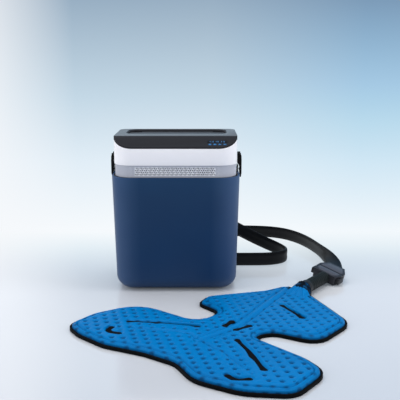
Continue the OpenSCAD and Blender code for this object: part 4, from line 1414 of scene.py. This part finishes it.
@dataclass
class WaterPad:
    """The butterfly-shaped pad: welded water bladder on a fleece backing with a bound edge.

    Attributes:
        cell: size of the remeshed faces, in millimetres.
        floor: height of the bladder's underside.
        thick: height of its skin over that, before it swells.
        swell: how far a filled field swells.
        edge_weld: how deep the weld just inside the edge is.
        inner_weld: how deep the second weld is, which runs beside the first.
        dent: how deep each welded dent is.
        groove: how deep the long folds are.
        rib: how high the rib between the wings rises.
        furrow: how deep the furrows beside the rib are.
        lining: height of the black pieces in the slots over the underside; they stand partly for
            the black fleece and partly for painted shade in the slots.
    """

    cell: float = 1.65
    floor: float = 4.5
    thick: float = 6.5
    swell: float = 1.0
    edge_weld: float = 1.6
    inner_weld: float = 3.2
    dent: float = 4.2
    groove: float = 3.0
    rib: float = 1.5
    furrow: float = 2.6
    lining: float = 4.4

    SLOTS = (
        ((-72, -240, 4.4), (-62, -240, 2.4), (-34, -244, 2.8), (-25, -246, 4.6), (-14, -247, 2.8),
         (30, -258, 2.2), (42, -262, 4.4)),
        ((86, -257, 5.0), (91, -249, 3.4), (98, -239, 5.0)),
        ((103, -273, 4.6), (112, -267, 3.0), (126, -258, 5.0)),
        ((190, -170, 4.8), (196, -181, 2.6), (211, -213, 2.6), (217, -226, 5.0)),
        ((103, -312, 4.6), (108, -324, 2.4), (118, -350, 3.0), (122, -368, 5.0), (128, -385, 3.2),
         (131, -398, 3.2), (135, -410, 5.2)),
        ((83, -427, 4.6), (90, -436, 4.2), (99, -439, 3.0), (112, -437, 5.2)),
        ((-98, -263, 4.6), (-102, -273, 3.4), (-96, -282, 4.2), (-83, -286, 4.6)),
    )
    RIB = ((214, -78), (170, -150), (130, -220), (112, -247), (99, -266), (43, -312))
    GROOVES = (
        ((43, -312), (30, -292), (0, -280), (-62, -267)),
        ((43, -312), (60, -335), (80, -355), (95, -385), (106, -406)),
    )

    def outline(self) -> np.ndarray:
        """The pad's edge, read off its backing, in millimetres."""
        bm = merged_copy("pad_backing")
        low = min(v.co.z for v in bm.verts)
        face = max((f for f in bm.faces if _level(f, low / MM)), key=lambda f: f.calc_area())
        points = np.array([(v.co.x, v.co.y) for v in face.verts]) / MM
        bm.free()
        return points

    def field(self, points: np.ndarray, edge: np.ndarray) -> np.ndarray:
        """How high the bladder's skin stands over its underside.

        Args:
            points: places on the pad, in millimetres.
            edge: the pad's outline.

        Returns:
            The height at each place, in millimetres.
        """
        rim = distance_to(points, edge, closed=True)
        slots = self.from_slots(points)
        rib = distance_to(points, np.array(self.RIB, float))
        grooves = np.min([distance_to(points, np.array(g, float)) for g in self.GROOVES], axis=0)
        calm = np.clip((rim - 13) / 3, 0, 1) * np.clip((slots - 5) / 4, 0, 1)
        calm *= np.clip((rib - 11) / 3, 0, 1) * np.clip((grooves - 4) / 3, 0, 1)
        height = self.thick * np.clip(rim / 5, 0, 1) ** 0.5
        height += self.swell * np.clip((rim - 9) / 8, 0, 1)
        height -= self.edge_weld * hump(rim - 4.6, 1.2) + self.inner_weld * hump(rim - 9.4, 1.7)
        height += self.rib * hump(rib, 4.0) - self.furrow * hump(rib - 7.5, 2.0) * (rim > 8)
        height -= self.groove * hump(grooves, 2.4)
        height -= calm * self.dent * hump(DENTS.reach(points), 3.5)
        wave = np.sin(points[:, 0] / 31.0 + 1.0) * np.cos(points[:, 1] / 43.0)
        height += 0.7 * wave * (rim > 12)
        sunk = np.minimum(height, 4.0)
        return np.clip(sunk + (height - sunk) * np.clip(slots / 3.5, 0, 1) ** 0.6, 0.1, 9.0)

    def from_slots(self, points: np.ndarray) -> np.ndarray:
        """How far each point lies outside the nearest slot, in millimetres."""
        best = np.full(len(points), 1e9)
        for slot in self.SLOTS:
            for (ax, ay, ar), (bx, by, br) in zip(slot, slot[1:]):
                start, step = np.array((ax, ay)), np.array((bx - ax, by - ay))
                f = np.clip(((points - start) @ step) / (step @ step), 0, 1)
                gap = np.linalg.norm(points - start - f[:, None] * step, axis=1)
                best = np.minimum(best, gap - ar - f * (br - ar))
        return best

    def pleats(self, place: np.ndarray) -> np.ndarray:
        """How far the gathered hood at the sleeve folds in and out, in millimetres."""
        turn = np.arctan2(place[:, 1] - HOOD_AT[1], place[:, 0] - HOOD_AT[0])
        return 0.8 * np.sin(turn * 17.0) + 0.5 * np.sin(turn * 31.0 + place[:, 2] * 0.4)

    def bladder(self, finishes: Finishes, edge: np.ndarray) -> bpy.types.Object:
        """Builds the welded bladder with its dents, rib, grooves and slots.

        Args:
            finishes: the materials.
            edge: the pad's outline.

        Returns:
            The bladder.
        """
        bm = merged_copy("pad_bladder")
        rough = finish_mesh(bm, "bladder_blank", finishes["bladder_blue"], outward=False)
        remesh = rough.modifiers.new("even_faces", "REMESH")
        remesh.mode = "VOXEL"
        remesh.voxel_size = self.cell * MM
        shape = bpy.data.meshes.new_from_object(
            rough.evaluated_get(bpy.context.evaluated_depsgraph_get())
        )
        bpy.data.objects.remove(rough)
        bm = bmesh.new()
        bm.from_mesh(shape)
        bpy.data.meshes.remove(shape)
        bm.normal_update()
        verts = list(bm.verts)
        place = np.array([v.co[:] for v in verts]) / MM
        upward = np.array([v.normal.z for v in verts]) > 0.35
        hood = place[:, 2] > self.floor + self.thick + 0.8
        lift = self.field(place[:, :2], edge)
        share = np.clip((place[:, 2] - self.floor) / self.thick, 0, 1)
        share[upward & (share > 0.4)] = 1.0
        height = self.floor + share * lift
        height[hood] = place[hood, 2] + self.pleats(place)[hood] - 0.6
        for vert, z in zip(verts, height):
            vert.co.z = z * MM
        way = np.array(COUPLING_WAY)
        away = (np.array(COUPLING_AT[:2]) - place[:, :2]) @ way
        pull = np.where(hood & (away < HOOD_FOLD), (HOOD_FOLD - away) * 0.75, 0.0)
        for index in np.flatnonzero(pull):
            verts[index].co.x -= pull[index] * way[0] * MM
            verts[index].co.y -= pull[index] * way[1] * MM
        bmesh.ops.smooth_vert(
            bm, verts=verts, factor=0.4, use_axis_x=True, use_axis_y=True, use_axis_z=False
        )
        LOG.info("the bladder has %d triangles", sum(len(f.verts) - 2 for f in bm.faces))
        return finish_mesh(bm, "water_bladder", finishes["bladder_blue"], 75.0)

    def slots(self, finishes: Finishes) -> None:
        """Fills each slot, which widens at both ends, with a black piece: partly the black fleece
        showing through it and partly painted shade inside it.

        Args:
            finishes: the materials.
        """
        bm = bmesh.new()
        top = (self.floor + self.lining) * MM
        for slot in self.SLOTS:
            for stop, (x, y, radius) in enumerate(slot):
                bmesh.ops.create_cone(
                    bm,
                    cap_ends=True,
                    segments=20,
                    radius1=radius * MM,
                    radius2=radius * MM,
                    depth=(1.0 + 0.06 * (stop % 3)) * MM,
                    matrix=Matrix.Translation((x * MM, y * MM, top)),
                )
            for (ax, ay, ar), (bx, by, br) in zip(slot, slot[1:]):
                a, b = Vector((ax, ay, 0)) * MM, Vector((bx, by, 0)) * MM
                side = (b - a).normalized().cross(Vector((0, 0, 1))) * MM
                low, rise = Vector((0, 0, top - 0.5 * MM)), Vector((0, 0, 0.96 * MM))
                plan = (a + side * ar, b + side * br, b - side * br, a - side * ar)
                corners = [bm.verts.new(p + low + r) for r in (Vector(), rise) for p in plan]
                bmesh.ops.convex_hull(bm, input=corners)
        seat(finish_mesh(bm, "slot_fleece_and_shade", finishes["binding_tape"]), Body.PAD)

    def binding(self, finishes: Finishes) -> None:
        """Rounds the bound edge and the fleece.

        Args:
            finishes: the materials.
        """
        for node, name, look, radius in (
            ("pad_backing", "fleece_backing", "backing_fleece", 0.8),
            ("pad_binding", "bound_edge", "binding_tape", 1.1),
        ):
            bm = merged_copy(node)
            round_edges(bm, radius, 3, 50.0)
            piece = seat(finish_mesh(bm, name, finishes[look], 60.0, outward=False), Body.PAD, node)

    def build(self, finishes: Finishes) -> None:
        """Builds the whole pad.

        Args:
            finishes: the materials.
        """
        edge = self.outline()
        bladder = seat(self.bladder(finishes, edge), Body.PAD, "pad_bladder")
        self.slots(finishes)
        self.binding(finishes)


# ---------------------------------------------------------------------------------------
# The studio
# ---------------------------------------------------------------------------------------


@dataclass
class Studio:
    """The pale floor that sweeps up into a backdrop, the lamps and the camera.

    Attributes:
        turn: where the floor turns up, behind the machine, in metres.
        eye: where the camera stands.
        floor_rough: the floor's roughness.
        floor_ior: how strongly the floor mirrors.
        melt_from: the steepest line of sight at which the mist starts to cover the floor.
        melt_over: over how much of the line of sight it thickens.
        lens: the camera's focal length on a 36 mm frame.
        dip: how far the camera looks down, in degrees.
    """

    turn: float = 1.5
    eye: tuple[float, float, float] = (0.0454, -1.246, 0.4365)
    floor_rough: float = 0.14
    floor_ior: float = 3.0
    melt_from: float = 0.38
    melt_over: float = 0.11
    lens: float = 58.5
    dip: float = 12.4

    def backdrop_paint(self) -> bpy.types.Material:
        """The sweep's paint: a glossy pale floor that melts into a cold lit mist.

        The mist's shade follows the line of sight from the camera, so that floor and wall
        meet without a seam.
        """
        shop = Workbench("sweep_paint")
        x, y, z = shop.axes()
        far = y - self.eye[1]
        fall = (self.eye[2] - z) / far
        side = (x - self.eye[0]) / far
        mist = shop.ramp(
            fall + 0.1,
            (0.0, srgb("92a9be")),
            (0.16, srgb("c4d8e6")),
            (0.26, srgb("e2eef7")),
            (0.37, srgb("f6fafd")),
            (0.4, srgb("e6f1f7")),
            (0.44, srgb("cfdfec")),
        )
        left = ((side + 0.19) * -6.0).held(0.0, 0.75)
        right = ((side - 0.02) * 2.2).held(0.0, 0.5) * (1.0 - fall * 3.4).most(0.0)
        mist = shop.blend(left, mist, srgb("f6f8fb"))
        cold = shop.ramp(
            fall + 0.1, (0.02, srgb("6a90b3")), (0.14, srgb("79bbe6")), (0.2, srgb("7fceee"))
        )
        mist = shop.blend(right, mist, cold)
        # Painted shade: the floor's base colour darkens towards the camera.
        near = shop.blend(shop.noise(2.2, 2.0) * 0.4, srgb("c8cbd1"), srgb("d3d6da"))
        shop.set(
            Base_Color=shop.blend(((y + 0.55) * 2.2).held(), near, srgb("d9dbdf")),
            Roughness=self.floor_rough,
            IOR=self.floor_ior,
        )
        rays = shop.node("ShaderNodeLightPath").socket.node.outputs
        eye = Term(shop, rays["Is Camera Ray"]).most(Term(shop, rays["Is Glossy Ray"]))
        eye = eye.most(Term(shop, rays["Is Transmission Ray"]))
        glow = shop.node("ShaderNodeEmission", inputs={"Color": mist, "Strength": 1.0})
        melt = ((self.melt_from - fall) / self.melt_over).held()
        mixed = shop.node(
            "ShaderNodeMixShader",
            inputs={
                0: eye * melt * melt * (3.0 - 2.0 * melt),
                1: Term(shop, shop.shader.outputs[0]),
                2: glow,
            },
        )
        shop.tree.links.new(mixed.socket, shop.out.inputs["Surface"])
        return shop.material

    def sweep(self) -> None:
        """Builds the floor and backdrop as one curved sheet."""
        bm = bmesh.new()
        line = [Vector((0, y, 0)) for y in (-2.2, -0.5, 0.5, self.turn)]
        radius = 0.7
        line += [
            Vector((0, self.turn + radius * math.sin(a), radius * (1 - math.cos(a))))
            for a in (math.radians(7.5 * k) for k in range(1, 13))
        ]
        line.append(Vector((0, self.turn + radius, 3.0)))
        verts = [bm.verts.new(p + Vector((-3.0, 0, 0))) for p in line]
        edges = [bm.edges.new(pair) for pair in zip(verts, verts[1:])]
        wide = bmesh.ops.extrude_edge_only(bm, edges=edges)["geom"]
        bmesh.ops.translate(
            bm, vec=(6.0, 0, 0), verts=[g for g in wide if isinstance(g, bmesh.types.BMVert)]
        )
        bmesh.ops.recalc_face_normals(bm, faces=bm.faces[:])
        sheet = finish_mesh(bm, "studio_sweep", self.backdrop_paint(), 60.0)

    def lamp(
        self,
        name: str,
        at: Sequence[float],
        to: Sequence[float],
        size: tuple[float, float],
        watts: float,
        code: str,
    ) -> None:
        """Hangs one soft box, which lights the scene but isn't mirrored in the glossy floor.

        Args:
            name: its name.
            at: where it hangs, in metres.
            to: the point it faces.
            size: its width and height.
            watts: its power.
            code: its light's display colour.
        """
        light = bpy.data.lights.new(name, "AREA")
        light.shape = "RECTANGLE"
        light.size, light.size_y = size
        light.energy = watts
        light.color = srgb(code)
        made = bpy.data.objects.new(name, light)
        made.location = at
        made.rotation_euler = (Vector(to) - Vector(at)).to_track_quat("-Z", "Y").to_euler()
        made.visible_glossy = False
        bpy.context.scene.collection.objects.link(made)

    def camera(self) -> None:
        """Sets the camera at the photograph's viewing angle."""
        lens = bpy.data.cameras.new("studio_camera")
        lens.lens = self.lens
        lens.sensor_width = 36.0
        lens.clip_end = 50.0
        made = bpy.data.objects.new("studio_camera", lens)
        made.location = self.eye
        made.rotation_euler = (math.radians(90 - self.dip), 0, 0)
        bpy.context.scene.collection.objects.link(made)
        bpy.context.scene.camera = made

    def build(self) -> None:
        """Builds the whole studio."""
        self.camera()
        self.sweep()
        self.lamp("top_box", (0.0, 0.1, 1.7), (0, 0.1, 0), (1.8, 1.6), 24, "ffffff")
        self.lamp("left_box", (-1.5, -0.7, 0.8), (0, 0, 0.15), (0.9, 1.3), 13, "fafbff")
        self.lamp("right_box", (1.6, -0.4, 0.7), (0.1, 0, 0.15), (0.7, 1.3), 14, "f8faff")
        self.lamp("front_box", (0.1, -2.4, 1.4), (0, 0, 0.15), (1.6, 1.0), 12, "ffffff")
        world = bpy.data.worlds.new("studio_air")
        bpy.context.scene.world = world
        world.use_nodes = True
        sky = world.node_tree.nodes["Background"]
        sky.inputs["Color"].default_value = (*srgb("dfe8f2"), 1.0)
        sky.inputs["Strength"].default_value = 0.45
        bpy.context.scene.view_settings.view_transform = "Standard"


def main() -> None:
    """Builds the machine, piece by piece, in the studio."""
    logging.basicConfig(level=logging.INFO, format="%(message)s")
    finishes = Finishes()
    Studio().build()
    coupling = Coupling()
    coupling.build(finishes)
    Hose().build(finishes, coupling)
    head = Head()
    for assembly in (Tub(), head, Panel(head), Latches(), WaterPad()):
        assembly.build(finishes)
        LOG.info("%s is ready", type(assembly).__name__)


if __name__ == "__main__":
    main()
